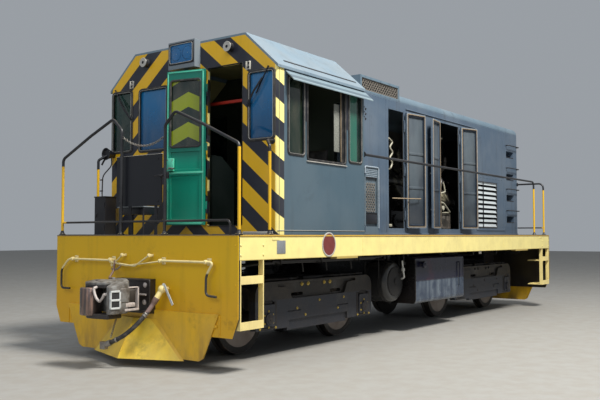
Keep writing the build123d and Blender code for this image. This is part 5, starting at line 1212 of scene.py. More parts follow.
# Side sills: weld seams, blank grey plate, blank round disc, lifting slots and tread plates on the deck
welds = Piece()
for side in (-1, 1):
    face = side * SILL_FACE
    for station in (2.38, 4.72, 7.05):
        welds.sweep(upright_line(st(station), face, (SILL_BOTTOM + 0.006, DECK - 0.02)),
                    strip(0.006, 0.001, 0.003, 0.003), up=side * Y)
    welds.block((-4.7, face - side * 0.004, DECK - 0.019), (4.7, face + side * 0.006, DECK - 0.001), 0.002)
    for station in (0.55, 8.9):
        welds.block((st(station), face - side * 0.002, DECK - 0.06),
                    (st(station) + 0.12, face + side * 0.004, DECK - 0.03), 0.002)
welds.make("sill_seams", sill_yellow)
blank = Piece()
for side in (-1, 1):
    blank.block(spot(0.63, SILL_FACE - 0.002, 1.205), spot(0.78, SILL_FACE + 0.005, 1.345), 0.002)
blank.make("sill_blank_plates", plate_grey)
disc, rim = Piece(), Piece()
for side in (-1, 1):
    disc.turned(
        spot(1.62, SILL_FACE, 1.294), side * Y, [(-0.002, 0.126), (0.005, 0.126), (0.005, 0.002)], 48)
    rim.turned(
        spot(1.62, SILL_FACE, 1.294), side * Y, [(-0.002, 0.142), (0.006, 0.142), (0.008, 0.139),
        (0.008, 0.128), (0.006, 0.125), (0.003, 0.125)], 48)
disc.make("sill_round_plates", disc_red)
rim.make("sill_round_rims", pale_bead)
tread = Piece()
for side in (-1, 1):
    tread.block(spot(0.06, 0.9, DECK - 0.001), spot(0.72, 1.42, DECK + 0.004), 0.001)
    tread.block(spot(2.6, 0.86, DECK - 0.001), spot(9.36, 1.42, DECK + 0.004), 0.001)
tread.block((st(0.06), -0.9, DECK - 0.001), (st(0.72), 0.9, DECK + 0.004), 0.001)
for side in (-1, 1):
    for station in [0.1 + 0.06 * step for step in range(11)] + [2.66 + 0.12 * step for step in range(56)]:
        tread.block(spot(station, 1.0, DECK + 0.003), (st(station) + 0.018, side * 1.4, DECK + 0.0075), 0)
tread.make("deck_tread_plates", floor_grey)

# End plates and pilots: seams, bolts, corner angles and the plow's weld beads
end_bolts, end_strips = Piece(), Piece()
for out in (-1, 1):
    face = out * END_FACE
    normal = out * X
    end_strips.block(
        (face - out * 0.002, -1.438, DECK - 0.018), (face + out * 0.004, 1.438, DECK - 0.002), 0.002)
    for side in (-1, 1):
        end_strips.block(
            (face - out * 0.002, side * 1.185, 0.379), (face + out * 0.007, side * 1.207, 0.59), 0.002)
        for height in (0.573, 0.474):
            end_bolts.bolt((face + out * 0.002, side * 1.148, height), normal, 0.026)
        end_bolts.bolt((face + out * 0.002, side * 0.552, 0.561), normal, 0.022)
        for height in (0.9, 1.3):
            end_bolts.rivet((face, side * 1.405, height), normal, 0.01)
end_bolts.make("end_plate_bolts", end_yellow)
end_strips.make("end_plate_strips", end_yellow)
plow_beads = Piece()
plow = [(-END_FACE - 0.062, 0.505), (-END_FACE - 0.29, 0.09)]
ridge = [Vector((plow[0][0], 0, plow[0][1])), Vector((plow[1][0], 0, plow[1][1]))]
plow_beads.sweep(
    [ridge[0] - X * 0.001, ridge[1] + Z * 0.018 + X * 0.008], strip(0.007, 0.004, 0.004, 0.003), up=-X)
plow_beads.make("plow_weld_beads", plow_yellow)

# Uncoupling levers: eye brackets with bolts, black handles, and the short links to the coupler's lock
LEVER_X, LEVER_Z = END_FACE + 0.06, 1.128
lever_eyes, levers, lever_links, lock_links = Piece(), Piece(), Piece(), Piece()


def on_lever(*line):
    """Places in the upright plane of the levers; y is positive on the side away from the first view."""
    return [(out * LEVER_X, -out * y, z) for y, z in line]


for out in (-1, 1):
    for y in (-1.06, -0.4, 0.4, 1.06):
        lever_eyes.turned(
            (out * LEVER_X, y - 0.014, LEVER_Z), Y, [(0, 0.018), (0.003, 0.023), (0.025, 0.023),
            (0.028, 0.018)], 18)
        lever_eyes.block((out * END_FACE, y - 0.028, LEVER_Z - 0.038),
                         (out * (END_FACE + 0.008), y + 0.028, LEVER_Z + 0.038))
        lever_eyes.block((out * END_FACE, y - 0.012, LEVER_Z - 0.014),
                         (out * (LEVER_X - 0.012), y + 0.012, LEVER_Z + 0.014))
        lever_eyes.bolt((out * (END_FACE + 0.008), y + 0.018, LEVER_Z + 0.028), out * X, 0.013)
        lever_eyes.bolt((out * (END_FACE + 0.008), y - 0.018, LEVER_Z - 0.028), out * X, 0.013)
    for y in (-0.228, 0.202):
        lever_eyes.turned(
            (out * LEVER_X, -out * y - 0.011, 1.185), Y, [(0, 0.014), (0.002, 0.019), (0.02, 0.019),
            (0.022, 0.014)], 16)
        lever_eyes.block(
            (out * END_FACE, -out * y - 0.011, 1.172), (out * (LEVER_X - 0.01), -out * y + 0.011, 1.198))
    levers.rod(on_lever((0.39, 1.122), (1.13, 1.128), (1.27, 1.0), (1.27, 0.78), (1.11, 0.78)), 0.0125, 14,
               bend=0.05)
    levers.rod(on_lever((-0.39, 1.13), (-1.16, 1.126), (-1.066, 0.99), (-1.062, 0.79), (-1.205, 0.78)),
               0.013, 14, bend=0.05)
    lever_links.rod(on_lever((0.41, 1.104), (-0.004, 1.063), (-0.228, 1.184)), 0.0095, 12, bend=0.03)
    lever_links.rod(
        on_lever((-0.434, 1.128), (-0.201, 1.102), (0.141, 1.066), (0.394, 1.104)), 0.008, 12, bend=0.03)
    lever_links.rod(on_lever((0.378, 1.12), (0.378, 1.05), (0.202, 1.187)), 0.0085, 12, bend=0.02)
    lock_links.rod(
        [(out * (END_FACE + 0.06), -out * 0.318, 1.12), (out * (END_FACE + 0.08), -out * 0.318, 1.006),
        (out * (END_FACE + 0.2), -out * 0.25, 0.93), (out * (END_FACE + 0.29), -out * 0.075, 0.94)], 0.012,
        12, bend=0.03)
lever_eyes.make("lever_eye_brackets", lever_coat)
lock_links.make("lock_lifting_links", bolt_brown)
levers = levers.make("uncoupling_lever_rods", lever_coat)
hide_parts("uncoupling_levers")
lever_links.make("lever_links", lever_coat)


def chain(piece, ends, sag, link=0.034, wire=0.0035):
    """Welded links hanging between two points."""
    start, end = Vector(ends[0]), Vector(ends[1])
    count = max(3, int((end - start).length * 1.06 / (0.74 * link)))
    for index in range(count):
        share = (index + 0.5) / count
        at = start.lerp(end, share) - Z * (4 * sag * share * (1 - share))
        along = ((end - start) / count - Z * (4 * sag * (1 - 2 * share) / count)).normalized()
        side = along.cross(Z if abs(along.z) < 0.9 else X).normalized()
        other = along.cross(side).normalized()
        flat = side if index % 2 else other
        loop = [at + along * (a * link * 0.5) + flat * (b * link * 0.3) for a, b in
                ((-1, -0.35), (-0.6, -1), (0.6, -1), (1, -0.35), (1, 0.35), (0.6, 1), (-0.6, 1), (-1, 0.35))]
        piece.rod(loop, wire, 6, closed=True)
    return piece


chains = Piece()
chain(chains, ((st(0.05), 0.333, 2.52), (st(0.05), -0.333, 2.48)), 0.1)
chain(chains, ((-END_FACE - 0.2, -0.025, 0.9), (-END_FACE - 0.405, -0.03, 0.33)), 0.012, 0.03, 0.003)
for out in (-1, 1):
    chain(chains, ((out * LEVER_X, -out * 0.378, 1.03), (out * (END_FACE + 0.1), -out * 0.171, 1.075)), 0.03,
          0.028, 0.003)
chains.make("chains", dull_steel)

# Couplers: cast head with a sloping crown, knuckle drum between its lugs, guard arm with its pocket plate
HEAD_PLAN = ((0.225, -0.075), (0.3, -0.19), (0.36, -0.235), (0.51, -0.235), (0.575, -0.218), (0.586, -0.198),
             (0.575, -0.15), (0.5, -0.105), (0.44, -0.07), (0.395, 0.01), (0.385, 0.11), (0.38, 0.215),
             (0.33, 0.205), (0.27, 0.13), (0.225, 0.075))
UPPER_LUG = ((0.33, -0.05), (0.52, -0.08), (0.548, 0.05), (0.545, 0.22), (0.5, 0.275), (0.36, 0.268))
LOWER_LUG = ((0.33, -0.12), (0.53, -0.125), (0.562, 0.08), (0.555, 0.185), (0.52, 0.24), (0.36, 0.225))
KNUCKLE_PLAN = ((0.6, 0.12), (0.598, 0.225), (0.582, 0.268), (0.54, 0.296), (0.45, 0.298), (0.396, 0.25),
                (0.388, 0.14), (0.43, 0.085), (0.52, 0.068), (0.582, 0.08))


def ahead(u, v, z):
    """A place at the end being worked on: out from the end plate, towards the knuckle's side, and height."""
    return Vector((out * (END_FACE + u), -out * v, z))


def cast_slab(piece, plan, low, high, soft=0.012, lean=0):
    """A casting of the given plan with softened rims; lean raises its top towards the end plate."""
    middle = Vector((sum(u for u, _ in plan) / len(plan), sum(v for _, v in plan) / len(plan)))
    loops = []
    for level, shrink in ((low, soft), (low + soft * 0.35, soft * 0.3), (low + soft, 0), (high - soft, 0),
                          (high - soft * 0.35, soft * 0.3), (high, soft)):
        loop = []
        for pair in rounded([(u, v, 0) for u, v in plan], 0.022, 3, closed=True):
            inward = Vector((middle.x - pair.x, middle.y - pair.y))
            shift = inward.normalized() * shrink
            top = lean * (0.6 - pair.x) if level > (low + high) / 2 else 0
            loop.append(ahead(pair.x + shift.x, pair.y + shift.y, level + top))
        loops.append(loop)
    return piece.rings(loops)


heads, knuckles, lugs, arms = Piece(), Piece(), Piece(), Piece()
draft_bits = Piece()
for out, end in ((-1, "front"), (1, "rear")):
    cast_slab(heads, HEAD_PLAN, 0.585, 0.868, 0.014, 0.19)
    heads.block(ahead(0.03, -0.074, 0.672), ahead(0.262, 0.074, 0.818), 0.012)
    heads.turned(ahead(0.29, 0.07, 0.9), Z, [(0, 0.024), (0.03, 0.022), (0.046, 0.018), (0.05, 0.006)], 20)
    cast_slab(knuckles, KNUCKLE_PLAN, 0.557, 0.852, 0.016)
    cast_slab(heads, UPPER_LUG, 0.876, 0.9, 0.006, 0.12)
    cast_slab(lugs, UPPER_LUG, 0.85, 0.884, 0.008, 0.12)
    cast_slab(lugs, LOWER_LUG, 0.528, 0.58, 0.01)
    for base, way in ((0.908, 1), (0.53, -1)):
        knuckles.turned(ahead(0.42, 0.165, base), way * Z,
                        [(-0.004, 0.03), (0.012, 0.03), (0.02, 0.023), (0.022, 0.004)], 20)
    arms.rod(
        [ahead(0.581, v, z) for v, z in ((0.041, 0.846), (0.022, 0.788), (-0.006, 0.743), (-0.055, 0.712),
        (-0.095, 0.745), (-0.125, 0.789))], 0.014, 12, bend=0.04)
    arms.rod([ahead(0.53, 0.041, 0.862), ahead(0.581, 0.041, 0.846)], 0.016)
    arms.rod([ahead(0.545, -0.17, 0.8), ahead(0.581, -0.125, 0.789)], 0.016)
    flank = leaf_matrix(
        out * (END_FACE + 0.462), out * 0.236, Vector((out * 0.123, -out * 0.022, 0)).normalized(), 0)
    pocket = Piece(flank)
    for low, high in (((0, 0.64), (0.018, 0.832)), ((0.108, 0.64), (0.124, 0.832)),
                      ((0, 0.812), (0.124, 0.832)), ((0, 0.64), (0.124, 0.66)), ((0, 0.722), (0.124, 0.744))):
        pocket.block((low[0], -0.01, low[1]), (high[0], 0.019, high[1]), 0.004)
    pocket.make(f"coupler_pocket_plate_{end}", worn_bright)
    # Dark blocks behind the pocket plate are painted shade inside its pockets
    pocket_shadow = Piece(flank)
    pocket_shadow.block((0.004, -0.016, 0.646), (0.12, 0.011, 0.826), 0.002)
    pocket_shadow.make(f"coupler_pocket_shadows_{end}", dark_core_and_shadow, slot="coupler_casting")
    heads.block(ahead(0.34, -0.224, 0.705), ahead(0.458, -0.242, 0.845), 0.004)
    arms.block(ahead(0.205, -0.196, 0.615), ahead(0.221, -0.238, 0.86))
    arms.block(ahead(0.205, -0.196, 0.846), ahead(0.35, -0.238, 0.86))
    arms.block(ahead(0.205, -0.196, 0.61), ahead(0.4, -0.243, 0.632))
    arms.block(ahead(0.255, -0.19, 0.65), ahead(0.385, -0.238, 0.694), 0.008)
    for v, height in ((-0.185, 0.865), (-0.176, 0.68), (0.205, 0.865), (0.205, 0.68)):
        arms.turned(ahead(0.07, v, height), out * X,
                    [(-0.002, 0.028), (0.006, 0.028), (0.01, 0.022), (0.016, 0.016), (0.017, 0.003)], 18)
    for v in (-0.262, 0.262):
        draft_bits.block(ahead(0.06, v - 0.01, 0.56), ahead(0.084, v + 0.01, 0.93), 0.005)
    draft_bits.block(ahead(0.064, -0.26, 0.905), ahead(0.084, 0.26, 0.93), 0.005)
    draft_bits.block(ahead(0.064, -0.26, 0.57), ahead(0.084, 0.26, 0.592), 0.005)
    arms.rod([ahead(0.092, -0.033, 0.763), ahead(0.092, -0.22, 0.763)], 0.011)
heads = heads.make("coupler_heads", coupler_iron)
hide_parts("coupler_front", "coupler_rear")
knuckles.make("coupler_knuckles", knuckle_iron)
lugs.make("coupler_lugs", draft_iron)
arms.make("coupler_arms", plain("arm_pale", (0.52, 0.46, 0.43), 0.5, 0.1, 0.7, 30.0), slot="coupler_casting")
draft_bits.make("draft_box_ribs_and_bolts", draft_iron, slot="black_paint")

# Angle cocks: handle, cap and the hose end's gasket face
cocks = Piece()
for out in (-1, 1):
    centre = Vector((out * 4.8, out * 0.4663, 0.827))
    cocks.turned(
        centre + Z * 0.03, Z, [(0, 0.03), (0.012, 0.03), (0.016, 0.018), (0.034, 0.014), (0.036, 0.003)], 16)
    cocks.sweep(
        [centre + Z * 0.056, centre + Vector((out * 0.03, out * 0.046, 0.04)),
        centre + Vector((out * 0.05, out * 0.185, -0.149))], strip(0.013, 0.004, 0.013, 0.004), up=out * X)
cocks.make(
    "angle_cock_handles", plain("handle_pale", (0.6, 0.64, 0.66), 0.4, 0.3, 0.5, 40.0),
    slot="coupler_casting")
gladhand = Piece()
middle = Vector((-5.1516, 0.0576, 0.2376))
gladhand.turned(middle - X * 0.026, X, [(0, 0.03), (0.004, 0.034), (0.01, 0.034), (0.012, 0.024)])
gladhand.turned(middle + X * 0.018, X, [(0, 0.032), (0.004, 0.036), (0.006, 0.034), (0.006, 0.014)])
gladhand.block(middle + Vector((-0.012, -0.042, 0.01)), middle + Vector((0.012, 0.034, 0.042)), 0.004)
gladhand.make("gladhand_faces", dull_steel)

# Trucks: bolts, journal caps, wear plates, brake pipes, spring ends and safety straps
TRUCKS = {"front": 2.12, "rear": 7.343}
AXLE_AWAY, AXLE_HEIGHT, BEAM_FACE, TREAD_FLOOR = 1.04, 0.445, 0.961, 0.4188
for end, station in TRUCKS.items():
    body = f"truck_{end}"
    centre = st(station)
    bolts, pads, pipes, caps = Piece(), Piece(), Piece(), Piece()
    for side in (-1, 1):
        face = side * BEAM_FACE
        normal = side * Y
        for offset in (-0.323, -0.192, 0.159, 0.29):
            bolts.bolt((centre + offset, side * 0.925, 0.811), normal, 0.03)
        for offset, height in ((-0.47, 0.53), (0, 0.6), (0.42, 0.47), (-0.3, 0.44), (0.56, 0.6)):
            bolts.bolt((centre + offset, face, height), normal, 0.02)
        for way in (-1, 1):
            axle = centre + way * AXLE_AWAY
            caps.turned(
                (axle, side * 1.003, AXLE_HEIGHT), normal, [(0, 0.056), (0.006, 0.054), (0.009, 0.04),
                (0.009, 0.018), (0.016, 0.016), (0.016, 0.003)], 28)
            for turn in range(6):
                angle = radians(60 * turn + 30)
                bolts.bolt((axle + 0.092 * cos(angle), side * 0.978, AXLE_HEIGHT + 0.092 * sin(angle)),
                           normal, 0.016)
            for lean in (-1, 1):
                pads.block(
                    (axle + lean * 0.122, side * 0.87, 0.37), (axle + lean * 0.168, side * 0.9645, 0.64))
                bolts.bolt((axle + lean * 0.145, side * 0.9645, 0.34), normal, 0.018)
            pads.block((axle - 0.175, side * 0.862, 0.326), (axle + 0.175, side * 0.966, 0.352), 0.004)
            pads.block((axle - 0.1, side * 0.88, 0.612), (axle + 0.1, side * 0.955, 0.65), 0.008)
            for step in range(4):
                pads.block((axle - 0.1 + 0.01 * step, side * 0.885, 0.618 + 0.008 * step),
                           (axle + 0.1 - 0.01 * step, side * 0.957, 0.624 + 0.008 * step), 0.001)
        pipes.rod(
            [(centre - 1.1, side * 0.905, 0.885), (centre - 0.4, side * 0.905, 0.885),
            (centre - 0.25, side * 0.8, 0.885), (centre + 0.25, side * 0.8, 0.885),
            (centre + 0.4, side * 0.905, 0.885), (centre + 1.1, side * 0.905, 0.885)], 0.013, 10, bend=0.06)
        for offset in (-0.95, -0.55, 0.55, 0.95):
            pipes.block((centre + offset - 0.012, side * 0.885, 0.862),
                        (centre + offset + 0.012, side * 0.925, 0.902))
        for way in (-1, 1):
            pipes.rod([(centre + way * 0.62, side * 0.56, 0.78), (centre + way * 0.46, side * 0.56, 0.7),
                       (centre + way * 0.36, side * 0.56, 0.5)], 0.017, 10, bend=0.05)
    for side in (-1, 1):
        pipes.rod([(centre - 0.6, side * 0.503, 0.3), (centre + 0.6, side * 0.503, 0.3)], 0.02, 10)
        for way in (-1, 1):
            pipes.block(
                (centre + way * 0.59, side * 0.48, 0.27), (centre + way * 0.64, side * 0.526, 0.42), 0.006)
    bolt_coat = plain("bolt_yellow", (0.5, 0.36, 0.07), 0.5, 0, 0.6, 60.0) if end == "front" else truck_iron
    bolts.make(f"truck_{end}_bolts", bolt_coat, body, "truck_casting")
    pads.make(f"truck_{end}_wear_plates", truck_iron, body)
    pipes.make(f"truck_{end}_brake_pipes", truck_iron, body)
    for number, way in ((1, -1), (2, 1)):
        wheel_bits = Piece()
        axle = centre + way * AXLE_AWAY
        for side in (-1, 1):
            wheel_bits.turned(
                (axle, side * 0.47, AXLE_HEIGHT), side * Y, [(0, TREAD_FLOOR), (0, TREAD_FLOOR + 0.001),
                (0.08, TREAD_FLOOR + 0.001), (0.08, TREAD_FLOOR)], 72)
        wheel_bits.make(f"wheel_treads_{end}_{number}", tread_steel, f"wheelset_{end}_{number}")
    caps.make(f"truck_{end}_journal_caps", truck_iron, body)

# Underframe: train pipe, air pipes, brackets, and the reservoirs' straps, caps, drains and valves
pipework = Piece()
for side in (-1, 1):
    pipework.rod(
        [(-4.66, side * 0.6, 1.02), (-4.2, side * 0.6, 1.02), (-4.0, side * 1.16, 1.1),
        (-1.55, side * 1.16, 1.1), (-1.3, side * 1.05, 1.2), (3.9, side * 1.05, 1.2),
        (4.5, side * 0.6, 1.05)], 0.021, 12, bend=0.12)
    pipework.rod(
        [(-3.9, side * 1.22, 1.115), (-1.5, side * 1.22, 1.115), (-1.2, side * 1.18, 1.24),
        (1.1, side * 1.18, 1.24)], 0.012, 10, bend=0.08)
    for station in (0.95, 1.75, 2.6, 3.25, 6.2, 7.2, 8.3):
        pipework.block(spot(station, 1.02, 1.07), (st(station) + 0.03, side * 1.25, 1.085))
        pipework.block(spot(station, 1.235, 1.07), (st(station) + 0.03, side * 1.25, 1.39))
    for station in (1.55, 2.05, 2.62):
        pipework.rod(
            [spot(station, 1.1, 1.39), spot(station, 1.1, 1.12), (st(station) + 0.03, side * 1.1, 0.97)],
            0.01, 8, bend=0.03)
pipework.make("underframe_pipes", deck_black)
RESERVOIR, RESERVOIR_HEIGHT = 3.795, 0.75
bands = Piece()
for side in (-1, 1):
    for y in (0.79, 1.01):
        bands.turned((st(RESERVOIR), side * y - 0.022, RESERVOIR_HEIGHT), Y,
                     [(0, 0.2902), (0, 0.2942), (0.044, 0.2942), (0.044, 0.2902)], 56)
        for lean in (-1, 1):
            bands.rod([(st(RESERVOIR) + lean * 0.294, side * y, 0.8),
                       (st(RESERVOIR) + lean * 0.294, side * y, 1.25)], 0.009, 8)
    bands.turned(
        spot(RESERVOIR, 1.099, RESERVOIR_HEIGHT), side * Y,
        [(0, 0.205), (0.012, 0.2), (0.018, 0.12), (0.02, 0.05), (0.034, 0.045), (0.038, 0.01)], 36)
    bands.rod(
        [spot(3.9, 1.105, 0.86), spot(3.9, 1.15, 0.86), spot(3.97, 1.15, 1.02), spot(3.97, 1.15, 1.22)],
        0.013, 10, bend=0.04)
    bands.turned(spot(3.97, 1.15, 0.98), Z, [(0, 0.018), (0.004, 0.026), (0.04, 0.026), (0.044, 0.018)], 14)
    bands.turned(spot(RESERVOIR, 1.02, 0.462), -Z,
                 [(-0.01, 0.018), (0.018, 0.018), (0.02, 0.01), (0.034, 0.01), (0.034, 0.002)], 12)
bands.make("reservoir_bands", deck_black)
valve = Piece()
for side in (-1, 1):
    valve.rod([spot(3.96, 1.118, 0.78), spot(3.96, 1.165, 0.8), spot(3.93, 1.165, 0.9),
               spot(3.9, 1.165, 1.04)], 0.013, 12, bend=0.03)
    valve.turned(
        spot(3.925, 1.165, 0.915), Z, [(-0.024, 0.016), (-0.02, 0.026), (0.02, 0.026), (0.024, 0.016)], 14)
valve.make(
    "reservoir_valves", plain("valve_white", (0.62, 0.62, 0.6), 0.4, 0.2, 0.5, 40.0), slot="lamp_housing")

# Fuel tank: end seams and bright lower edge, filler caps with chains, sight glass, blank tag plates
TANK_FACE = 1.25
tank_seams, tank_fittings, tank_tags = Piece(), Piece(), Piece()
for side in (-1, 1):
    face = side * TANK_FACE
    tank_seams.block((st(4.16), face - side * 0.002, 0.47), (st(5.77), face + side * 0.003, 0.478), 0.001)
    for station in (4.135, 5.772):
        tank_seams.sweep(upright_line(st(station + 0.012), face, (0.47, 1.04)),
                         strip(0.01, 0.001, 0.007, 0.004), up=side * Y)
    tank_seams.sweep(
        [(st(4.14), face, 0.742), (st(5.79), face, 0.742)], strip(0.008, 0.001, 0.005, 0.004), up=side * Y)
    tank_fittings.turned(
        spot(4.33, 1.296, 0.98), side * Y, [(0, 0.05), (0.012, 0.054), (0.02, 0.05), (0.022, 0.02),
        (0.034, 0.016), (0.034, 0.003)], 24)
    chain(tank_fittings, (spot(4.36, 1.318, 0.985), spot(4.46, 1.252, 0.935)), 0.03, 0.018, 0.002)
    tank_fittings.rod(
        [spot(5.6, 1.254, 0.62), spot(5.6, 1.274, 0.62), spot(5.6, 1.274, 0.98), spot(5.6, 1.254, 0.98)],
        0.01, 12, bend=0.012)
    tank_tags.block(spot(6.455, 1.236, 1.09), spot(6.56, 1.243, 1.15), 0.001)
tank_seams.make("tank_seams", tank_coat)
tank_fittings.make("tank_fittings", tank_coat, slot="coupler_casting")
tank_tags.make("tank_tag_plates", plain("tag_white", (0.68, 0.66, 0.6), 0.5), slot="lamp_housing")

# Corner steps: open tread bars and bolts
step_bars, step_bolts = Piece(), Piece()
for x0, x1 in ((0.034, 0.412), (9.051, 9.429)):
    for side in (-1, 1):
        for level in (0.446, 0.905):
            for row in range(8):
                y = 1.17 + 0.032 * row
                step_bars.block((st(x0 + 0.012), side * y, level + 0.018),
                                spot(x1 - 0.012, y + 0.006, level + 0.0245), 0)
            for step in range(6):
                x = x0 + 0.04 + 0.058 * step
                step_bars.block(spot(x, 1.16, level + 0.019), spot(x + 0.006, 1.425, level + 0.0255), 0)
        for x in (x0 + 0.01, x1 - 0.01):
            for height in (1.2, 1.3):
                step_bolts.bolt(spot(x, SILL_FACE - 0.002, height), side * Y, 0.018)
step_bars.make("step_tread_bars", step_yellow, slot="sill_paint")
step_bolts.make("step_bolts", sill_yellow)

# Handrails: foot flanges with bolts, and wall flanges
flanges, flange_bolts = Piece(), Piece()
RAIL_FEET = ((0.05, 1.41), (0.05, 0.35), (0.57, 1.39), (9.4, 1.36), (8.9, 1.34))
for side in (-1, 1):
    for station, y in RAIL_FEET:
        flanges.turned((st(station), side * y, DECK + 0.002), Z,
                       [(0, 0.042), (0.008, 0.042), (0.012, 0.03), (0.04, 0.0185), (0.04, 0.016)], 20)
        for turn in (45, 135, 225, 315):
            flange_bolts.bolt((st(station) + 0.032 * cos(radians(turn)),
                               side * y + 0.03 * sin(radians(turn)), DECK + 0.01), Z, 0.009)
    flanges.turned(
        (CAB_BACK, side * 1.34, 2.434), X, [(0, 0.04), (0.008, 0.04), (0.01, 0.02), (0.03, 0.0175)], 20)
    flanges.turned(
        (CAB_FACE, side * 1.296, 2.43), -X, [(0, 0.036), (0.008, 0.036), (0.01, 0.02), (0.03, 0.0175)], 20)
    flanges.turned(
        spot(9.4, HOOD_HALF, 2.43), side * Y, [(0, 0.038), (0.008, 0.038), (0.01, 0.02), (0.028, 0.0175)],
        20)
flanges.make("rail_flanges", rail_paint)
flange_bolts.make("rail_flange_bolts", step_yellow, slot="yellow_paint")

# Front platform: shield edging and latch, horn on the far grab post, cabinet lid, box on its stand
shield = Piece()
shield.block((st(0.086), -0.254, 2.3), (st(0.114), 0.484, 2.304), 0.001)
shield.make("shield_edging", pale_bead)
latch = Piece()
latch.block((st(0.07), -0.352, 2.04), (st(0.1), -0.25, 2.075), 0.004)
latch.block((st(0.06), -0.372, 2.02), (st(0.094), -0.33, 2.095), 0.005)
latch.rod([(st(0.066), -0.3, 2.058), (st(0.04), -0.26, 2.058), (st(0.04), -0.2, 2.05)], 0.009, 10, bend=0.02)
for y in (-0.2, 0.43):
    for height in (1.78, 2.25):
        latch.bolt((st(0.09), y, height), -X, 0.016)
latch.make("shield_latch", black_enamel)
horn = Piece()
horn.turned(
    (st(0.655) + 0.03, 1.3, 2.438), -X, [(-0.09, 0.02), (-0.06, 0.034), (-0.02, 0.046), (0.03, 0.06),
    (0.07, 0.078), (0.074, 0.08), (0.074, 0.07), (0.05, 0.055)], 28)
horn.rod([(st(0.62), 1.385, 2.3), (st(0.64), 1.36, 2.37), (st(0.66), 1.3, 2.4)], 0.012, 10, bend=0.03)
horn.rod(
    [(st(0.7), 1.3, 2.43), (st(0.715), 1.3, 2.3), (st(0.6), 1.34, 2.16), (st(0.592), 1.34, 1.9),
    (st(0.56), 1.27, 1.88)], 0.008, 10, bend=0.05)
for height in (1.96, 2.1):
    horn.block((st(0.582), 1.33, height), (st(0.602), 1.375, height + 0.014), 0.002)
horn.make("front_horn", black_enamel)
lids = Piece()
lids.block((st(0.462), 1.122, 1.876), (st(0.648), 1.338, 1.89))
lids.block((st(0.2), 0.148, 1.64), (st(0.42), 0.573, 1.722), 0.008)
for station in (0.212, 0.408):
    for y in (0.16, 0.56):
        lids.rod([(st(station), y, DECK), (st(station), y, 1.65)], 0.012, 10)
lids.make("cabinet_lid", black_enamel)
box_lid = Piece()
box_lid.block((st(0.192), 0.14, 1.722), (st(0.428), 0.581, 1.736))
box_lid.make("platform_box_lid", lamp_grey)
lid_bits = Piece()
for height in (1.5, 1.78):
    lid_bits.rod([(st(0.466), 1.15, height - 0.03), (st(0.466), 1.15, height + 0.03)], 0.007, 10)
lid_bits.block((st(0.462), 1.285, 1.63), (st(0.472), 1.315, 1.68))
lid_bits.make("cabinet_hinges", black_enamel, slot="coupler_casting")

# Cab inside: lining sheets, cushions, gauges and a ceiling lamp
liner = Piece()
liner.block((CAB_FACE + 0.06, -0.88, 3.642), (CAB_BACK - 0.06, 0.88, 3.65), 0.002)
for side in (-1, 1):
    liner.sweep([(CAB_FACE + 0.062, side * 1.1, 3.452), (CAB_BACK - 0.062, side * 1.1, 3.452)],
                strip(0.225, 0.004, 0.225, 0.004), up=Vector((0, side * 0.667, 0.742)))
liner.make("cab_ceiling_lining", brightened_lining)
gauges = Piece()
for y in (-0.12, 0.03, 0.18, 0.33):
    gauges.turned(
        (st(1.058), y, 2.352), Z, [(0, 0.055), (0.012, 0.055), (0.016, 0.048), (0.014, 0.044),
        (0.014, 0.004)])
for y in (-0.14, 0.06, 0.26):
    gauges.turned(
        (st(1.19), y, 2.318), Z, [(0, 0.01), (0.004, 0.022), (0.02, 0.026), (0.036, 0.02), (0.042, 0.006)],
        16)
gauges.make("control_gauges", dull_steel, slot="lamp_housing")
beam = Piece()
beam.block((st(1.0), -1.32, 2.965), (st(1.03), 1.32, 3.0), 0.004)
beam.make("cab_cross_beam", plain("beam_red", (0.36, 0.018, 0.006), 0.5, 0, 0.3), slot="grey_paint")
dome = Piece()
dome.turned((st(1.65), 0, 3.641), -Z, [(0, 0.09), (0.012, 0.088), (0.03, 0.06), (0.038, 0.01)])
dome.make("cab_ceiling_lamp", plain("dome_pale", (0.75, 0.73, 0.66), 0.3), slot="lamp_housing")


def cushion(name, centre, size, crown):
    """A crowned pad with its sides pulled in between the corners and a welt round its middle."""
    grid = 14
    made = bmesh.new()
    sheets = []
    for top in (1, -1):
        rows = []
        for i in range(grid + 1):
            row = []
            for j in range(grid + 1):
                u, v = 2 * i / grid - 1, 2 * j / grid - 1
                pull = 0.035
                a = u * (1 - pull * (1 - v * v)) * size[0] / 2
                b = v * (1 - pull * (1 - u * u)) * size[1] / 2
                edge = max(0, (1 - u ** 6) * (1 - v ** 6)) ** 0.5
                level = top * edge * (size[2] / 2 + (crown * (1 - u * u) * (1 - v * v) if top > 0 else 0))
                level -= 0.006 * top * (abs(sin(3 * pi * v / 2)) < 0.12) * edge if top > 0 else 0
                row.append(made.verts.new((a, b, level)))
            rows.append(row)
        sheets.append(rows)
        for i in range(grid):
            for j in range(grid):
                face = (rows[i][j], rows[i + 1][j], rows[i + 1][j + 1], rows[i][j + 1])
                made.faces.new(face if top > 0 else tuple(reversed(face)))
    bmesh.ops.remove_doubles(made, verts=made.verts, dist=0.0004)
    bmesh.ops.transform(made, matrix=centre, verts=made.verts)
    mesh = bpy.data.meshes.new(name)
    made.to_mesh(mesh)
    made.free()
    mesh.polygons.foreach_set("use_smooth", [True] * len(mesh.polygons))
    pad = shown(name, mesh)
    smooth = pad.modifiers.new("smooth", "SUBSURF")
    smooth.levels = smooth.render_levels = 1
    pad.data.materials.append(seat_vinyl)
    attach(pad, "chassis")
    return pad


def vinyl():
    finish = Finish("seat_vinyl")
    creases = finish.cells(55.0, 0.02, 0.1, feature="DISTANCE_TO_EDGE")
    worn = finish.cloud(7.0, 0.45, 0.75, 5.0)
    base = finish.mix(worn * 0.5, (0.02, 0.019, 0.018), (0.075, 0.062, 0.05))
    return finish.coat(
        Base_Color=base, Roughness=0.42 + worn * 0.25,
        Normal=finish.bump(creases + finish.cloud(260.0, detail=2.0) * 0.4, 0.0005))


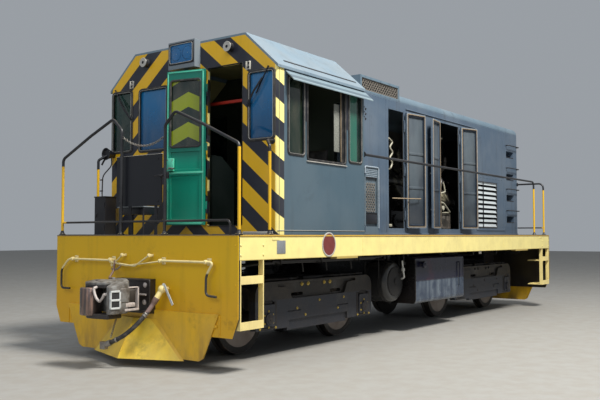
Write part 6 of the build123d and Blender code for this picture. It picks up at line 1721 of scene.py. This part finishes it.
seat_vinyl = vinyl()
seat_frames = Piece()
for name, side in (("near", -1), ("far", 1)):
    cushion(f"seat_cushion_{name}", Matrix.Translation(spot(1.975, 0.875, 2.01)), (0.44, 0.44, 0.085), 0.018)
    back = Matrix.Translation(spot(2.168, 0.875, 2.285)) @ Matrix.Rotation(radians(-90), 4, "Y")
    cushion(f"seat_back_{name}", back, (0.415, 0.4, 0.052), 0.01)
    seat_frames.block((st(1.775), side * 0.875 - 0.2, 1.945), (st(2.18), side * 0.875 + 0.2, 1.966), 0.006)
    seat_frames.turned(
        spot(1.975, 0.875, 1.516), Z, [(0, 0.18), (0.01, 0.18), (0.02, 0.165), (0.03, 0.07), (0.2, 0.058),
        (0.42, 0.05), (0.432, 0.11)], 28)
    for lean in (-0.16, 0.16):
        seat_frames.rod(
            [(st(2.15), side * 0.875 + lean, 1.955), (st(2.19), side * 0.875 + lean, 1.98),
            (st(2.194), side * 0.875 + lean, 2.44)], 0.009, 8, bend=0.02)
seat_frames = seat_frames.make("seat_frames", black_enamel, slot="seat_cover")
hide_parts("cab_seats")

# Engine: rocker cover bolts, exhaust clamps, hoses, oil filters and wiring seen through the open doors
works, warm_pipes, dark_hoses = Piece(), Piece(), Piece()
for side in (-1, 1):
    for index in range(6):
        x = st(5.132 + 0.345 * index)
        for lean in (-0.1, 0.1):
            works.bolt((x + lean, side * 0.455, 2.35), side * Y + Z * 0.7, 0.022)
        warm_pipes.rod(
            [(x, side * 0.3, 2.5), (x, side * 0.44, 2.62), (x, side * 0.44, 2.8)], 0.03, 14, bend=0.06)
        warm_pipes.turned(
            (x, side * 0.44, 2.72), Z, [(0, 0.031), (0.002, 0.044), (0.018, 0.044), (0.02, 0.031)], 16)
    dark_hoses.rod(
        [spot(5.0, 0.5, 1.62), spot(5.6, 0.54, 1.66), spot(6.3, 0.54, 1.6), spot(7.0, 0.5, 1.66)], 0.02, 12,
        bend=0.2)
    dark_hoses.rod([spot(5.8, 0.52, 1.9), spot(6.1, 0.57, 2.05), spot(6.4, 0.55, 2.3)], 0.016, bend=0.1)
    warm_pipes.rod(
        [spot(4.16, 0.46, 1.5), spot(4.2, 0.46, 2.3), spot(4.3, 0.42, 2.62), spot(4.3, 0.3, 3.1)], 0.022, 14,
        bend=0.12)
WORKS = 0.6
pale_works = Piece()
for side in (-1, 1):
    zigzag = [
        (4.545, 2.9), (4.66, 2.85), (4.56, 2.76), (4.668, 2.69), (4.56, 2.6), (4.65, 2.52), (4.59, 2.44)]
    pale_works.rod([spot(station, WORKS, height) for station, height in zigzag], 0.013, 10, bend=0.04)
    pale_works.rod([spot(4.59, WORKS, 2.44), spot(4.59, 0.47, 2.36)], 0.013, 10)
    pale_works.rod([spot(4.545, WORKS, 2.9), spot(4.5, 0.44, 2.96)], 0.013, 10)
    for line in ([(6.205, 2.35), (6.46, 2.3), (6.52, 2.16), (6.25, 2.11)],
                 [(6.2, 1.99), (6.46, 1.96), (6.72, 1.8)],
                 [(6.3, 3.075), (6.42, 3.085)]):
        run = [spot(station, WORKS, height) for station, height in line]
        pale_works.rod([(run[0][0], side * 0.44, run[0][2])] + run + [(run[-1][0], side * 0.44, run[-1][2])],
                       0.014, 10, bend=0.03)
    pale_works.block(spot(4.56, 0.5, 1.53), spot(4.64, WORKS, 1.575), 0.012)
    pale_works.turned(
        spot(6.44, WORKS, 1.875), side * Y, [(-0.01, 0.04), (0.006, 0.04), (0.01, 0.03), (0.01, 0.003)], 20)
    works.sweep(upright((st(6.24), st(6.7)), side * WORKS, (1.525, 1.77)), strip(0.006, 0.006, 0.006, 0.006),
                up=side * Y, closed=True)
    works.block(spot(6.246, 0.5, 1.52), spot(6.694, 0.59, 1.765), 0.006)
pale_works.make(
    "engine_pale_fittings", plain("enamel_cream", (0.5, 0.48, 0.38), 0.42, 0, 0.7, 26.0),
    slot="engine_paint")
works.make("engine_cover_bolts", dull_steel, slot="engine_paint")
warm_pipes.make("engine_pipes", engine_enamel)
dark_hoses.make("engine_cable_runs", black_rubber, slot="engine_paint")


# Floor and soft studio light
floor = bpy.data.meshes.new("floor")
floor.from_pydata([(-60, -60, 0), (60, -60, 0), (60, 60, 0), (-60, 60, 0)], [], [(0, 1, 2, 3)])
floor = shown("floor", floor)
floor.data.materials.append(plain("studio_floor", (0.3, 0.295, 0.28), 0.75, 0.0, 0.04, 1.0, 0.0))


def lamp(name, place, target, size, power, colour=(1, 1, 1)):
    light = bpy.data.lights.new(name, "AREA")
    light.shape = "RECTANGLE"
    light.size, light.size_y = size
    light.energy = power
    light.color = colour
    made = shown(name, light)
    made.location = place
    made.rotation_euler = (Vector(target) - Vector(place)).to_track_quat("-Z", "Y").to_euler()


lamp("key", (-3.8, -9.3, 15.0), (0.0, 0.0, 1.5), (3.5, 3.5), 4700, (1.0, 0.97, 0.91))
lamp("front", (-15.0, -3.0, 8.0), (-3.0, 0.0, 1.8), (8.0, 6.0), 470, (0.93, 0.96, 1.0))
lamp("top", (2.0, 1.0, 13.0), (0.0, 0.0, 1.0), (14.0, 8.0), 200, (0.95, 0.98, 1.0))
world = bpy.data.worlds.new("studio")
world.use_nodes = True
world.node_tree.nodes["Background"].inputs["Color"].default_value = (0.8, 0.86, 0.93, 1.0)
world.node_tree.nodes["Background"].inputs["Strength"].default_value = 0.4
bpy.context.scene.world = world
